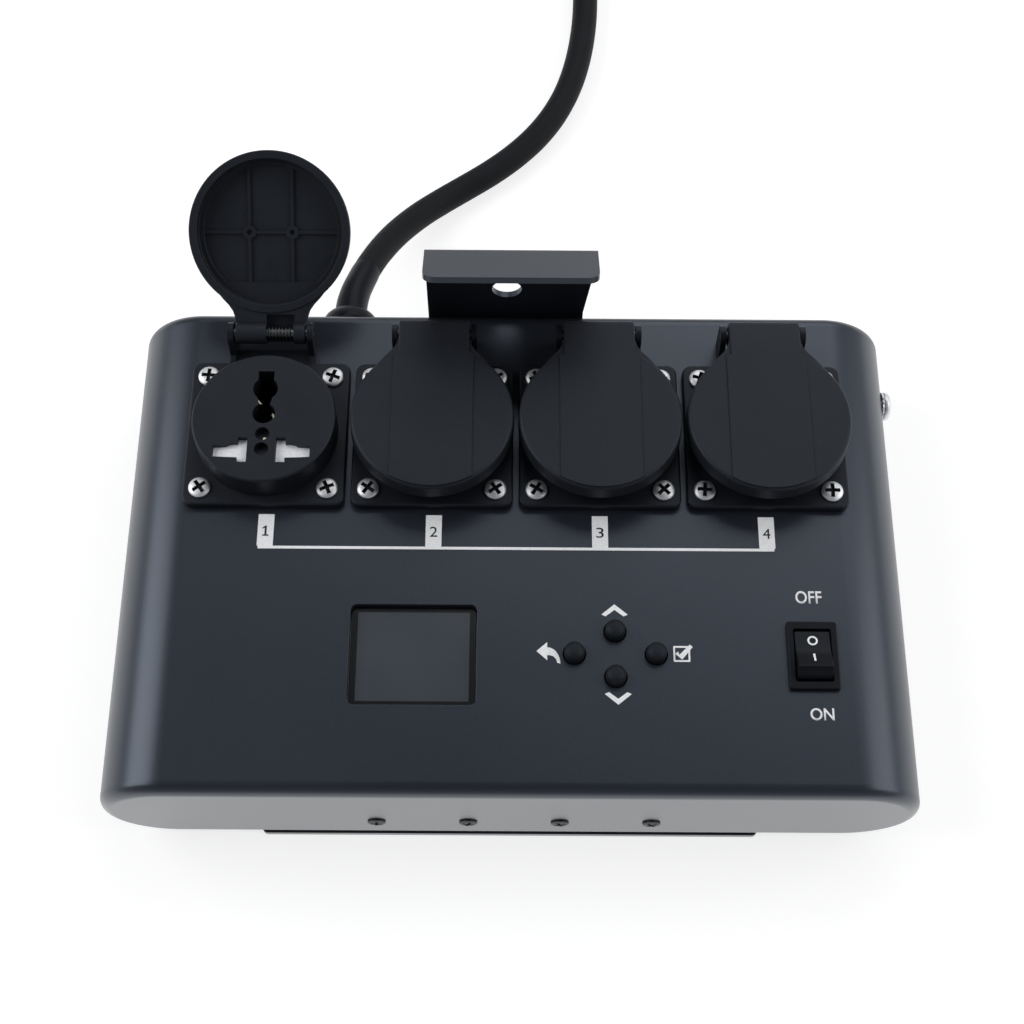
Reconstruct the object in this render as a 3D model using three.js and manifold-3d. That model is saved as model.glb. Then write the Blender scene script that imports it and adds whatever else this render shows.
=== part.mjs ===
// A four-channel stage dimmer pack: a flat case with four lidded outlets, a display, four keys,
// a rocker switch, a hanging bracket and a mains cord with its plug.
// Millimetres. +X points right seen from the front, +Y to the rear, +Z up.
// The origin is the centre of the base plate's underside.

import * as THREE from 'three';
import { mergeVertices } from 'three/addons/utils/BufferGeometryUtils.js';
import Module from 'manifold-3d';

const wasm = await Module();
wasm.setup();

// Shared
const gap = 0.3; // between two pieces that lie against each other
const overrun = 1; // how far a cut runs past a face
const wideSides = 24; // sides of a large round piece
const roundSides = 16; // sides of a middling one
const pinSides = 12; // sides of a hinge pin and its bore
const smallSides = 8; // sides of a small round piece
const holeSides = 6; // sides of a screw's clearance hole
const endSides = 16; // sides of each half-round end of the case
const cornerSides = 4; // sides of a rounded corner
const quarter = Math.PI / 2;
const turn = Math.PI * 2;

// Case: a tube of racetrack section closed by two plates
const bodyWidth = 243;
const bodyDepth = 161;
const bodyHeight = 42;
const bodyWall = 2.5;
const plateThickness = 4;
const plateRound = 3.5;
const plateRoundSteps = 3;

// Bracket: one bent sheet under and behind the case
const sheetThickness = 2;
const baseWidth = 152;
const baseCorner = 1.5;
const uprightWidth = 53.6; // at the bend and of the lip
const uprightX = -0.7; // of its middle
const uprightNarrow = 3.3; // lost from its right edge on the way down to the panel
const uprightClear = 0.7; // behind the rear plate
const uprightRise = 33; // of the upper bend above the panel
const lipLength = 19;
const lipTilt = Math.PI / 6;
const lipCorner = 4;
const sheetBend = 1.2; // inner radius
const bendSteps = 4;
const hangHoleRadius = 4.7;
const hangHoleX = -2;
const hangHoleRise = 13.6; // above the panel

// Outlets
const outletCount = 4;
const outletMargin = 17.9; // beside the row, at each end
const outletGap = 1.8; // between two flanges
const outletOffset = 1.2; // of the row's centre from the case's
const outletBack = 115.3; // from the front face
const flangeThickness = 3;
const flangeCorner = 3;
const flangeScrewInset = 5.4; // from the flange's edges
const collarInset = 2.85; // from the flange's edges
const collarTop = 13; // above the panel
const collarBevel = 0.6;
const barrelStep = 1.15; // of the collar out from the barrel
const barrelDepth = 22; // below the panel
const pinDepth = 19; // of the pin channels below the face

// Pin holes of an outlet, from its centre
const earthSlotHalf = 2.45;
const earthSlotTop = 16.1;
const earthUpperRadius = 3.85;
const earthUpperY = 10;
const earthWaistHalf = 1.7;
const earthLowerRadius = 3.5;
const earthLowerY = 1.3;
const keyHoleRadius = 2.2;
const keyHoleDepth = 1.1;
const keyHoleUpperY = -5.8;
const keyHoleLowerY = -11;
const bladeInner = 4.4;
const bladeOuter = 7.3;
const bladeTop = -7.1;
const bladeBottom = -15.5;
const flatNeckX = 9.5;
const flatNeckInset = 0.5;
const flatOuter = 14.8;
const flatTop = -9.4;
const flatBottom = -14;

// Shutter behind the live and neutral holes
const shutterThickness = 1.5;
const shutterPlay = 0.2; // above and below it
const shutterCover = 1.6; // face left above its chamber
const shutterSide = 5.85; // of its ends in from the barrel's edge
const shutterFrontRoom = 2.4; // of its front in from the barrel's edge
const shutterLength = 12.2;
const shutterNotchHalf = 4.15;
const shutterBridge = 1.8; // in front of its notch
const shutterTravel = 9.6;

// Hinge of a lid
const hingeReach = 6.3; // behind the lid's rim
const hingeHeight = 10; // above the panel
const earInner = 11.6;
const earThickness = 1.8;
const earRadius = 3.4;
const earFoot = 4.6; // how far the ear's foot runs under the lid
const pinRadius = 1.5;
const pinBoreRadius = 1.6;

// Lid
const lidGap = 1.2; // between two lids
const lidDraft = 0.8; // of the side, from rim to top
const lidRimZ = 9.4;
const lidTopZ = 15.4;
const lidEdge = 1;
const lidRoom = 0.6; // round the collar
const lidCavityTop = 13.3;
const lidShelf = 1.15; // of the recess in from the collar's edge
const lidSkin = 1.1;
const lidRibHalfPitch = 6.75;
const lidRibThickness = 1;
const lidRibDrop = 0.85;
const lidBossRadius = 2;
const lidBossHoleRadius = 0.8;
const bandHalf = 12.5;
const bandRise = 0.5;
const tongueHalf = 11;
const tongueUnder = 1.2; // above the hinge axis
const knuckleRadius = 3.4;
const lidOpenAngle = 145 * Math.PI / 180;

// Pan-head screws of the outlets
const screwHeadRadius = 3.4;
const screwHeadHeight = 1.5;
const screwShankRadius = 1.45;
const screwShankLength = 9;
const screwCrossLength = 4;
const screwCrossWidth = 0.9;
const screwCrossDepth = 0.8;

// Screws of the front plate
const frontScrewPitch = 27.5;
const frontScrewCount = 4;
const frontScrewZ = 15.6;
const frontHeadRadius = 2.75;
const frontHeadHeight = 1.7;
const frontShankRadius = 1.45;
const frontShankLength = 10;
const frontCrossLength = 3.2;

// Display
const displayX = -29.2;
const displayBack = 42.9; // from the front face
const displayWidth = 38;
const displayHeight = 31.6;
const displayCorner = 2;
const lensSink = 2;
const lensThickness = 1.5;
const moduleWidth = 42;
const moduleHeight = 35;

// Keys
const keyCentreX = 30.9;
const keyCentreBack = 43.2;
const keyReachX = 12.15;
const keyReachY = 7.15;
const keyRadius = 3.05;
const keyHoleClear = 0.4;
const keyRise = 4;
const keyDome = 1.8;
const keyCollarRadius = 4.3;
const keyCollarThickness = 1;
const keyStemRadius = 1.75;
const keyTravel = 1;

// Control board under the panel
const boardThickness = 1.6;
const controlWidth = 102;
const controlDepth = 36;
const controlX = -1;
const controlSink = 11; // of the board's top below the panel
const postRadius = 2.5;
const postInset = 4;
const keySwitchSide = 6;
const keySwitchHeight = 3;

// Rocker switch
const switchSide = 32.1; // from the case's right side
const switchBack = 42.8;
const bezelWidth = 15;
const bezelLength = 21.4;
const bezelCorner = 1.2;
const bezelRise = 1.5;
const switchWidth = 12.6;
const switchLength = 19.6;
const switchDepth = 17;
const switchWall = 0.7; // at its sides
const switchEndWall = 1.5;
const rockerWidth = 10.6;
const rockerRadius = 8;
const rockerPivotSink = 1.3; // below the panel
const rockerTipAngle = 54.4 * Math.PI / 180;
const rockerValleyShare = 0.44; // of the radius
const rockerTilt = 17.5 * Math.PI / 180;
const rockerSteps = 5;
const rockerRootDepth = 3;
const rockerPivotRadius = 1;
const wellDepth = 8; // below the rocker's pivot
const tabWidth = 4.8;
const tabThickness = 0.8;
const tabLength = 7;
const tabPitch = 7;

// Earth screw on the right side
const earthScrewBack = 139;
const earthHeadRadius = 4.75;
const earthHeadHeight = 3;
const earthShankRadius = 2.4;
const earthShankLength = 12;
const earthCrossLength = 5.4;

// Cord gland on the rear plate
const cordDiameter = 9.5;
const glandX = -54.8;
const glandZ = 23;
const glandNutRadius = 11;
const glandNutLength = 6;
const glandNutSides = 6;
const glandDomeRadius = 10;
const glandMouthRadius = 7;
const glandDomeLength = 5.5;
const glandThreadRadius = 7.8;
const glandLockRadius = 10.5;
const glandLockLength = 4;

// Data connectors on the rear plate
const dataClear = 8.2; // between the bracket and the input's flange
const dataPitch = 33;
const dataFlangeWidth = 26;
const dataFlangeHeight = 31;
const dataFlangeThickness = 2;
const dataCorner = 2.5;
const dataBarrelRadius = 11.8;
const dataBarrelDepth = 20;
const dataCupRadius = 9.6;
const dataCupDepth = 14;
const dataPinCircle = 4.8;
const dataPinRadius = 1.3;
const dataPinLength = 11;
const dataCoreRadius = 8.2;
const dataCoreSink = 1;
const dataPinHoleRadius = 1.6;
const dataPinCount = 3;

// Main board with its parts
const mainSideRoom = 23.5; // beside the board, at each end
const mainDepth = 70;
const mainY = 21;
const mainRise = 3.5; // above the case's floor
const mainPostInset = 6;
const relayWidth = 19;
const relayDepth = 15;
const relayHeight = 8;
const relayBack = 12; // of the relays' centre behind the board's front edge
const terminalWidth = 150;
const terminalDepth = 8;
const terminalRoom = 3.4; // between the terminals and the outlets above them
const terminalInset = 8;

// Heat bar with four power devices
const barWidth = 104;
const barThickness = 8;
const barHeight = 20;
const deviceWidth = 10;
const deviceThickness = 4.4;
const deviceHeight = 15;

// Filter choke
const chokeOffset = 18.9; // left of the last outlet's centre
const chokeY = -1;
const chokeRadius = 12.5;
const chokeBoreRadius = 5;
const chokeHeight = 9;
const chokeChamfer = 2;

// Cord route: hand-chosen points of its centre line, from the gland to the coil
const cordRoute = [
  [-54.8, 92.6, 23], [-54.6, 96.6, 22.9], [-53.9, 101, 22.4], [-52.7, 105.6, 21.5], [-50, 114.3, 19],
  [-46.8, 122.5, 16], [-42.9, 130.5, 12.9], [-38.2, 138, 10], [-32.3, 145.3, 7.5], [-25.4, 152, 5.6],
  [-17.4, 158.3, 4.8], [-8.7, 164.7, 4.75], [0, 172.2, 4.75], [8.3, 181.3, 4.75], [15.4, 192.2, 4.75],
  [20.9, 205, 4.75], [24.7, 219.8, 4.75], [26.9, 236.5, 4.75], [27.5, 255, 4.75], [27.5, 277, 4.75],
  [27.5, 299, 4.75],
];
const cordSides = 8;

// Cord coil: two layers that spiral in, climb and spiral out again
const coilX = -32.5;
const coilY = 330;
const coilMidRadius = 50;
const coilTurnsPerLayer = 2;
const coilPitch = 10;
const coilSteps = 24; // for each turn
const coilSides = 6;

// Short end from the coil to the plug
const tailBendRadius = 38;
const tailSteps = 5;
const tailStraight = 4;
const plugZ = 13;

// Plug
const plugLength = 44;
const plugWidth = 34;
const plugHeight = 26;
const plugCorner = 5;
const plugNeckRadius = 8;
const plugNeckLength = 14;
const plugTaper = 12;
const bladeLength = 17;
const bladeWidth = 6.3;
const bladeThickness = 1.6;
const bladeCircle = 8;
const bladeTilt = Math.PI / 6;

// Places worked out from the sizes
const frontY = -bodyDepth / 2;
const rearY = bodyDepth / 2;
const caseFloorZ = sheetThickness + bodyWall;
const panelZ = sheetThickness + bodyHeight;
const panelUnderZ = panelZ - bodyWall;
const bodyMidZ = sheetThickness + bodyHeight / 2;
const bodyRadius = bodyHeight / 2;
const bodyHalfFlat = bodyWidth / 2 - bodyRadius;
const outletY = frontY + outletBack;
const outletPitch = (bodyWidth - 2 * outletMargin) / outletCount;
const flangeSide = outletPitch - outletGap;
const flangeScrewPitch = flangeSide - 2 * flangeScrewInset;
const collarRadius = flangeSide / 2 - collarInset;
const barrelRadius = collarRadius - barrelStep;
const shutterRadius = barrelRadius;
const shutterHalf = shutterRadius - shutterSide;
const shutterFront = shutterFrontRoom - shutterRadius;
const shutterBack = shutterFront + shutterLength;
const shutterNotchFront = shutterFront + shutterBridge;
const lidRimRadius = (outletPitch - lidGap) / 2;
const lidTopRadius = lidRimRadius - lidDraft;
const lidCavityRadius = collarRadius + lidRoom;
const lidRecessRadius = collarRadius - lidShelf;
const hingeBack = lidRimRadius + hingeReach; // from the outlet's centre
const plateInnerY = rearY - plateThickness;
const controlTopZ = panelZ - controlSink;
const switchX = bodyWidth / 2 - switchSide;
const dataInX = (uprightWidth + dataFlangeWidth) / 2 + dataClear;
const dataOutX = dataInX + dataPitch;
const mainWidth = bodyWidth - 2 * mainSideRoom;
const chokeX = outletOffset + outletPitch * (outletCount - 1) / 2 - chokeOffset;
const mainZ = caseFloorZ + mainRise;
const terminalHeight = panelZ - barrelDepth - terminalRoom - mainZ - boardThickness;

// Looks
const coat = { color: 0x1b1c1f, roughness: 0.5, metalness: 0.1 };
const plastic = { color: 0x141517, roughness: 0.6, metalness: 0 };
const rubber = { color: 0x101112, roughness: 0.85, metalness: 0 };
const steel = { color: 0xc8cacc, roughness: 0.3, metalness: 1 };
const blackSteel = { color: 0x202124, roughness: 0.4, metalness: 0.8 };
const white = { color: 0xe8e8e4, roughness: 0.5, metalness: 0 };
const glass = { color: 0x2a2e31, roughness: 0.12, metalness: 0 };
const board = { color: 0x1f5a36, roughness: 0.5, metalness: 0 };
const aluminium = { color: 0xb4b7ba, roughness: 0.4, metalness: 1 };
const ferrite = { color: 0x7a3f1c, roughness: 0.4, metalness: 0.3 };

const dimmer = new THREE.Group();

function piece(name, solid, look, parent = dimmer) {
  const mesh = new THREE.Mesh(toGeometry(solid), new THREE.MeshStandardMaterial(look));
  mesh.name = name;
  parent.add(mesh);
  return mesh;
}

// Solids: closed shapes that can be joined and cut

function toSolid(geometry) {
  const bare = geometry.clone();
  bare.deleteAttribute('normal');
  bare.deleteAttribute('uv');
  const merged = mergeVertices(bare);
  return new wasm.Manifold(new wasm.Mesh({
    numProp: 3,
    vertProperties: merged.attributes.position.array,
    triVerts: new Uint32Array(merged.index.array),
  }));
}

function toGeometry(solid) {
  const mesh = solid.getMesh();
  const geometry = new THREE.BufferGeometry();
  geometry.setAttribute('position', new THREE.BufferAttribute(new Float32Array(mesh.vertProperties), 3));
  geometry.setIndex(new THREE.BufferAttribute(new Uint32Array(mesh.triVerts), 1));
  geometry.computeVertexNormals();
  return geometry;
}

function join(...solids) {
  return solids.reduce((whole, solid) => whole.add(solid));
}

function cut(whole, ...tools) {
  return tools.reduce((rest, tool) => rest.subtract(tool), whole);
}

// A block with its base at z, centred on x and y
function block(width, depth, height, x = 0, y = 0, z = 0) {
  const geometry = new THREE.BoxGeometry(width, depth, height);
  return toSolid(geometry.translate(x, y, z + height / 2));
}

// An upright rod with its base at z
function rod(radius, height, sides, x = 0, y = 0, z = 0) {
  const geometry = new THREE.CylinderGeometry(radius, radius, height, sides);
  return toSolid(geometry.rotateX(quarter).translate(x, y, z + height / 2));
}

// A profile of radius and height pairs, from the bottom up, turned about the upright axis
function turned(profile, sides) {
  const points = profile.map(([radius, height]) => new THREE.Vector2(radius, height));
  return new THREE.LatheGeometry(points, sides).rotateX(quarter);
}

function outline(points) {
  return new THREE.Shape(points.map(([x, y]) => new THREE.Vector2(x, y)));
}

function roundedRect(width, height, corner) {
  const x = width / 2 - corner;
  const y = height / 2 - corner;
  const shape = new THREE.Shape();
  shape.absarc(x, y, corner, 0, quarter, false);
  shape.absarc(-x, y, corner, quarter, 2 * quarter, false);
  shape.absarc(-x, -y, corner, 2 * quarter, 3 * quarter, false);
  shape.absarc(x, -y, corner, 3 * quarter, 4 * quarter, false);
  return shape;
}

// Each arc of the outline gets the given number of sides
function extruded(shape, depth, arcSides = cornerSides) {
  return new THREE.ExtrudeGeometry(shape, { depth, curveSegments: arcSides / 2, bevelEnabled: false });
}

// Rounded rectangle standing on z
function slab(width, depth, height, corner, x, y, z) {
  return toSolid(extruded(roundedRect(width, depth, corner), height).translate(x, y, z));
}

// Outline in the plane of y and z, extruded along x and centred on x
function acrossX(points, width, x = 0, y = 0, z = 0) {
  const geometry = extruded(outline(points), width).translate(0, 0, -width / 2);
  return toSolid(geometry.rotateY(quarter).rotateX(quarter).translate(x, y, z));
}

// Rod along x or along y, centred on its length
function rodX(radius, length, sides, x, y, z) {
  return toSolid(new THREE.CylinderGeometry(radius, radius, length, sides).rotateZ(quarter).translate(x, y, z));
}

function rodY(radius, length, sides, x, y, z) {
  return toSolid(new THREE.CylinderGeometry(radius, radius, length, sides).translate(x, y, z));
}

// A pan-head screw with its head's underside at the origin and its head upwards
function panScrew(headRadius, headHeight, shankRadius, shankLength, crossLength) {
  const profile = [
    [0, -shankLength], [shankRadius, -shankLength], [shankRadius, 0], [headRadius, 0],
    [headRadius, headHeight * 0.45], [headRadius * 0.6, headHeight], [0, headHeight],
  ];
  const crossZ = headHeight - screwCrossDepth;
  return cut(
    toSolid(turned(profile, smallSides)),
    block(crossLength, screwCrossWidth, headHeight, 0, 0, crossZ),
    block(screwCrossWidth, crossLength, headHeight, 0, 0, crossZ),
  );
}

// Case

function racetrack(inset) {
  const radius = bodyRadius - inset;
  const shape = new THREE.Shape();
  shape.absarc(bodyHalfFlat, 0, radius, -quarter, quarter, false);
  shape.absarc(-bodyHalfFlat, 0, radius, quarter, 3 * quarter, false);
  return shape;
}

const outletPlaces = Array.from(
  { length: outletCount },
  (_, i) => outletOffset + (i - (outletCount - 1) / 2) * outletPitch,
);
const screwSigns = [[-1, 1], [1, 1], [1, -1], [-1, -1]];
const keyPlaces = {
  button_up: [keyCentreX, frontY + keyCentreBack + keyReachY],
  button_down: [keyCentreX, frontY + keyCentreBack - keyReachY],
  button_back: [keyCentreX - keyReachX, frontY + keyCentreBack],
  button_confirm: [keyCentreX + keyReachX, frontY + keyCentreBack],
};
const frontScrewPlaces = Array.from(
  { length: frontScrewCount },
  (_, i) => outletOffset + (i - (frontScrewCount - 1) / 2) * frontScrewPitch,
);
const displayY = frontY + displayBack;
const switchY = frontY + switchBack;
const earthScrewY = frontY + earthScrewBack;

const shellShape = racetrack(0);
shellShape.holes.push(racetrack(bodyWall));
const shellDepth = bodyDepth - 2 * plateThickness;
const shellTube = toSolid(
  extruded(shellShape, shellDepth, endSides).rotateX(quarter).translate(0, plateInnerY, bodyMidZ),
);
const cutHeight = bodyWall + 2 * overrun;
const cutZ = panelUnderZ - overrun;
const shellCuts = [
  slab(displayWidth, displayHeight, cutHeight, displayCorner, displayX, displayY, cutZ),
  block(switchWidth + 2 * gap, switchLength + 2 * gap, cutHeight, switchX, switchY, cutZ),
  rodX(earthShankRadius + gap, 2 * bodyRadius, smallSides, bodyWidth / 2, earthScrewY, bodyMidZ),
];
for (const [x, y] of Object.values(keyPlaces)) {
  shellCuts.push(rod(keyRadius + keyHoleClear, cutHeight, roundSides, x, y, cutZ));
}
for (const x of outletPlaces) {
  shellCuts.push(rod(barrelRadius + gap, cutHeight, wideSides, x, outletY, cutZ));
  for (const [sx, sy] of screwSigns) {
    const holeX = x + sx * flangeScrewPitch / 2;
    const holeY = outletY + sy * flangeScrewPitch / 2;
    shellCuts.push(rod(screwShankRadius + gap, cutHeight, holeSides, holeX, holeY, cutZ));
  }
}
piece('body_shell', cut(shellTube, ...shellCuts), coat);

function endPlate() {
  const geometry = new THREE.ExtrudeGeometry(racetrack(0), {
    depth: plateThickness - plateRound,
    curveSegments: endSides / 2,
    bevelThickness: plateRound,
    bevelSize: plateRound,
    bevelOffset: -plateRound,
    bevelSegments: plateRoundSteps,
  });
  const width = bodyWidth + 2 * overrun;
  const inner = block(width, width, plateRound + overrun, 0, 0, -plateRound - overrun);
  return toGeometry(cut(toSolid(geometry), inner));
}

const frontPlate = toSolid(endPlate().rotateX(quarter).translate(0, frontY + plateThickness, bodyMidZ));
const plateHoleLength = plateThickness + 2 * overrun;
const frontHoles = frontScrewPlaces.map((x) => rodY(
  frontShankRadius + gap, plateHoleLength, smallSides, x, frontY + plateThickness / 2, frontScrewZ,
));
piece('front_plate', cut(frontPlate, ...frontHoles), coat);

const rearPlate = toSolid(endPlate().rotateX(-quarter).translate(0, plateInnerY, bodyMidZ));
const rearHoleY = rearY - plateThickness / 2;
piece('rear_plate', cut(
  rearPlate,
  rodY(glandThreadRadius + gap, plateHoleLength, roundSides, glandX, rearHoleY, glandZ),
  rodY(dataBarrelRadius + gap, plateHoleLength, roundSides, dataInX, rearHoleY, bodyMidZ),
  rodY(dataBarrelRadius + gap, plateHoleLength, roundSides, dataOutX, rearHoleY, bodyMidZ),
), coat);

// Bracket: a flat base, an upright behind the case and a lip that leans forward

function sheetProfile(corners) {
  const middle = [];
  const bend = sheetBend + sheetThickness / 2;
  corners.forEach((corner, i) => {
    const here = new THREE.Vector2(...corner);
    if (i === 0 || i === corners.length - 1) {
      middle.push(here);
      return;
    }
    const before = new THREE.Vector2(...corners[i - 1]).sub(here).normalize();
    const after = new THREE.Vector2(...corners[i + 1]).sub(here).normalize();
    const half = before.angleTo(after) / 2;
    const reach = bend / Math.tan(half);
    const toCentre = before.clone().add(after).normalize().multiplyScalar(bend / Math.sin(half));
    const centre = here.clone().add(toCentre);
    const start = before.clone().multiplyScalar(reach).add(here).sub(centre);
    const sweep = Math.PI - 2 * half;
    const sign = Math.sign(before.cross(after));
    for (let step = 0; step <= bendSteps; step += 1) {
      const spoke = start.clone().rotateAround(new THREE.Vector2(0, 0), -sign * sweep * step / bendSteps);
      middle.push(spoke.add(centre));
    }
  });
  const side = (sign) => middle.map((point, i) => {
    const ahead = middle[Math.min(i + 1, middle.length - 1)].clone().sub(middle[Math.max(i - 1, 0)]).normalize();
    const along = new THREE.Vector2(-ahead.y, ahead.x).multiplyScalar(sign * sheetThickness / 2);
    return [point.x + along.x, point.y + along.y];
  });
  return [...side(1), ...side(-1).reverse()];
}

const uprightMidY = rearY + uprightClear + sheetThickness / 2;
const lipBendZ = panelZ + uprightRise;
const lipEndY = uprightMidY - lipLength * Math.cos(lipTilt);
const lipEndZ = lipBendZ + lipLength * Math.sin(lipTilt);
const lipBodyY = uprightMidY - (lipLength - lipCorner) * Math.cos(lipTilt);
const lipBodyZ = lipBendZ + (lipLength - lipCorner) * Math.sin(lipTilt);
const bracketBody = acrossX(sheetProfile([
  [rearY - plateThickness, sheetThickness / 2],
  [uprightMidY, sheetThickness / 2],
  [uprightMidY, lipBendZ],
  [lipBodyY, lipBodyZ],
]), uprightWidth, uprightX);
const lipTip = extruded(roundedRect(uprightWidth, 2 * lipCorner, lipCorner - overrun / 10), sheetThickness);
lipTip.translate(uprightX, lipCorner, -sheetThickness / 2).rotateX(-lipTilt).translate(0, lipEndY, lipEndZ);
const basePlate = slab(baseWidth, bodyDepth, sheetThickness, baseCorner, 0, 0, 0);
const uprightEdge = uprightX + uprightWidth / 2;
const sheetBendReach = sheetBend + sheetThickness;
const narrowing = toSolid(extruded(outline([
  [uprightEdge, lipBendZ - sheetBendReach], [uprightEdge - uprightNarrow, panelZ],
  [uprightEdge - uprightNarrow, sheetThickness], [uprightEdge + uprightNarrow, sheetThickness],
  [uprightEdge + uprightNarrow, lipBendZ - sheetBendReach],
]), 2 * sheetBendReach).rotateX(quarter).translate(0, uprightMidY + sheetBendReach, 0));
piece('hanging_bracket', cut(
  join(basePlate, cut(bracketBody, narrowing), toSolid(lipTip)),
  rodY(hangHoleRadius, sheetThickness + 2 * overrun, roundSides, hangHoleX, uprightMidY, panelZ + hangHoleRise),
), coat);

// Outlets, built about their own centres on the panel

function socketSolid() {
  const flange = slab(flangeSide, flangeSide, flangeThickness, flangeCorner, 0, 0, 0);
  const collar = turned([
    [0, -barrelDepth], [barrelRadius, -barrelDepth], [barrelRadius, 0], [collarRadius, 0],
    [collarRadius, collarTop - collarBevel], [collarRadius - collarBevel, collarTop], [0, collarTop],
  ], wideSides);
  const ears = [-1, 1].map((side) => {
    const points = [[-earFoot - earRadius, 0], [earRadius, 0], [earRadius, hingeHeight]];
    for (let step = 1; step < smallSides / 2; step += 1) {
      const angle = step * turn / smallSides;
      points.push([earRadius * Math.cos(angle), hingeHeight + earRadius * Math.sin(angle)]);
    }
    points.push([-earRadius, hingeHeight], [-earFoot, flangeThickness], [-earFoot - earRadius, flangeThickness]);
    return acrossX(points, earThickness, side * (earInner + earThickness / 2), hingeBack, 0);
  });
  const bridgeWidth = 2 * (earInner + earThickness);
  const bridgeDepth = hingeBack - earFoot - flangeSide / 2 + overrun;
  const bridge = block(bridgeWidth, bridgeDepth, flangeThickness, 0, flangeSide / 2 + bridgeDepth / 2 - overrun, 0);
  let body = join(flange, toSolid(collar), bridge, ...ears);

  const channelZ = collarTop - pinDepth;
  const channelHeight = pinDepth + overrun;
  const earthSlotDepth = earthSlotTop - earthUpperY;
  const waistLength = earthUpperY - earthLowerY;
  const earth = [
    block(2 * earthSlotHalf, earthSlotDepth, channelHeight, 0, earthUpperY + earthSlotDepth / 2, channelZ),
    rod(earthUpperRadius, channelHeight, pinSides, 0, earthUpperY, channelZ),
    block(2 * earthWaistHalf, waistLength, channelHeight, 0, earthLowerY + waistLength / 2, channelZ),
    rod(earthLowerRadius, channelHeight, smallSides, 0, earthLowerY, channelZ),
  ];
  const keys = [keyHoleUpperY, keyHoleLowerY].map(
    (y) => rod(keyHoleRadius, keyHoleDepth + overrun, smallSides, 0, y, collarTop - keyHoleDepth),
  );
  const pins = [-1, 1].map((side) => {
    const neckWidth = flatNeckX - bladeInner;
    const flatWidth = flatOuter - flatNeckX;
    const flatHeight = flatTop - flatBottom;
    const flatY = (flatTop + flatBottom) / 2;
    const neckHeight = flatHeight - 2 * flatNeckInset;
    const bladeWide = bladeOuter - bladeInner;
    const bladeTall = bladeTop - bladeBottom;
    return join(
      block(bladeWide, bladeTall, channelHeight, side * (bladeInner + bladeWide / 2), bladeTop - bladeTall / 2, channelZ),
      block(neckWidth, neckHeight, channelHeight, side * (bladeInner + neckWidth / 2), flatY, channelZ),
      block(flatWidth, flatHeight, channelHeight, side * (flatNeckX + flatWidth / 2), flatY, channelZ),
    );
  });
  const screws = screwSigns.map(([sx, sy]) => rod(
    screwShankRadius + gap, flangeThickness + 2 * overrun, holeSides,
    sx * flangeScrewPitch / 2, sy * flangeScrewPitch / 2, -overrun,
  ));
  const pinBore = rodX(pinBoreRadius, 2 * (earInner + earThickness + overrun), pinSides, 0, hingeBack, hingeHeight);
  const shutterRoom = shutterSolid(gap, shutterTravel + gap, shutterPlay);
  return cut(body, ...earth, ...keys, ...pins, ...screws, pinBore, shutterRoom);
}

// The shutter, or with a margin the chamber that it slides in
function shutterSolid(margin, travel, play) {
  const height = shutterThickness + 2 * play;
  const z = collarTop - shutterCover - shutterPlay - shutterThickness - play;
  const front = shutterFront - margin;
  const back = shutterBack + travel;
  const notchHalf = shutterNotchHalf - margin;
  const notchFront = shutterNotchFront + travel + (travel > 0 ? gap : 0);
  const plate = block(2 * (shutterHalf + margin), back - front, height, 0, (back + front) / 2, z);
  const disc = rod(shutterRadius + margin, height, wideSides, 0, 0, z);
  const notchDepth = back - notchFront + overrun;
  const notch = block(2 * notchHalf, notchDepth, height + 2 * overrun, 0, notchFront + notchDepth / 2, z - overrun);
  return cut(plate.intersect(disc), notch);
}

const lidHinge = new THREE.Vector3(0, hingeBack, hingeHeight);

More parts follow.
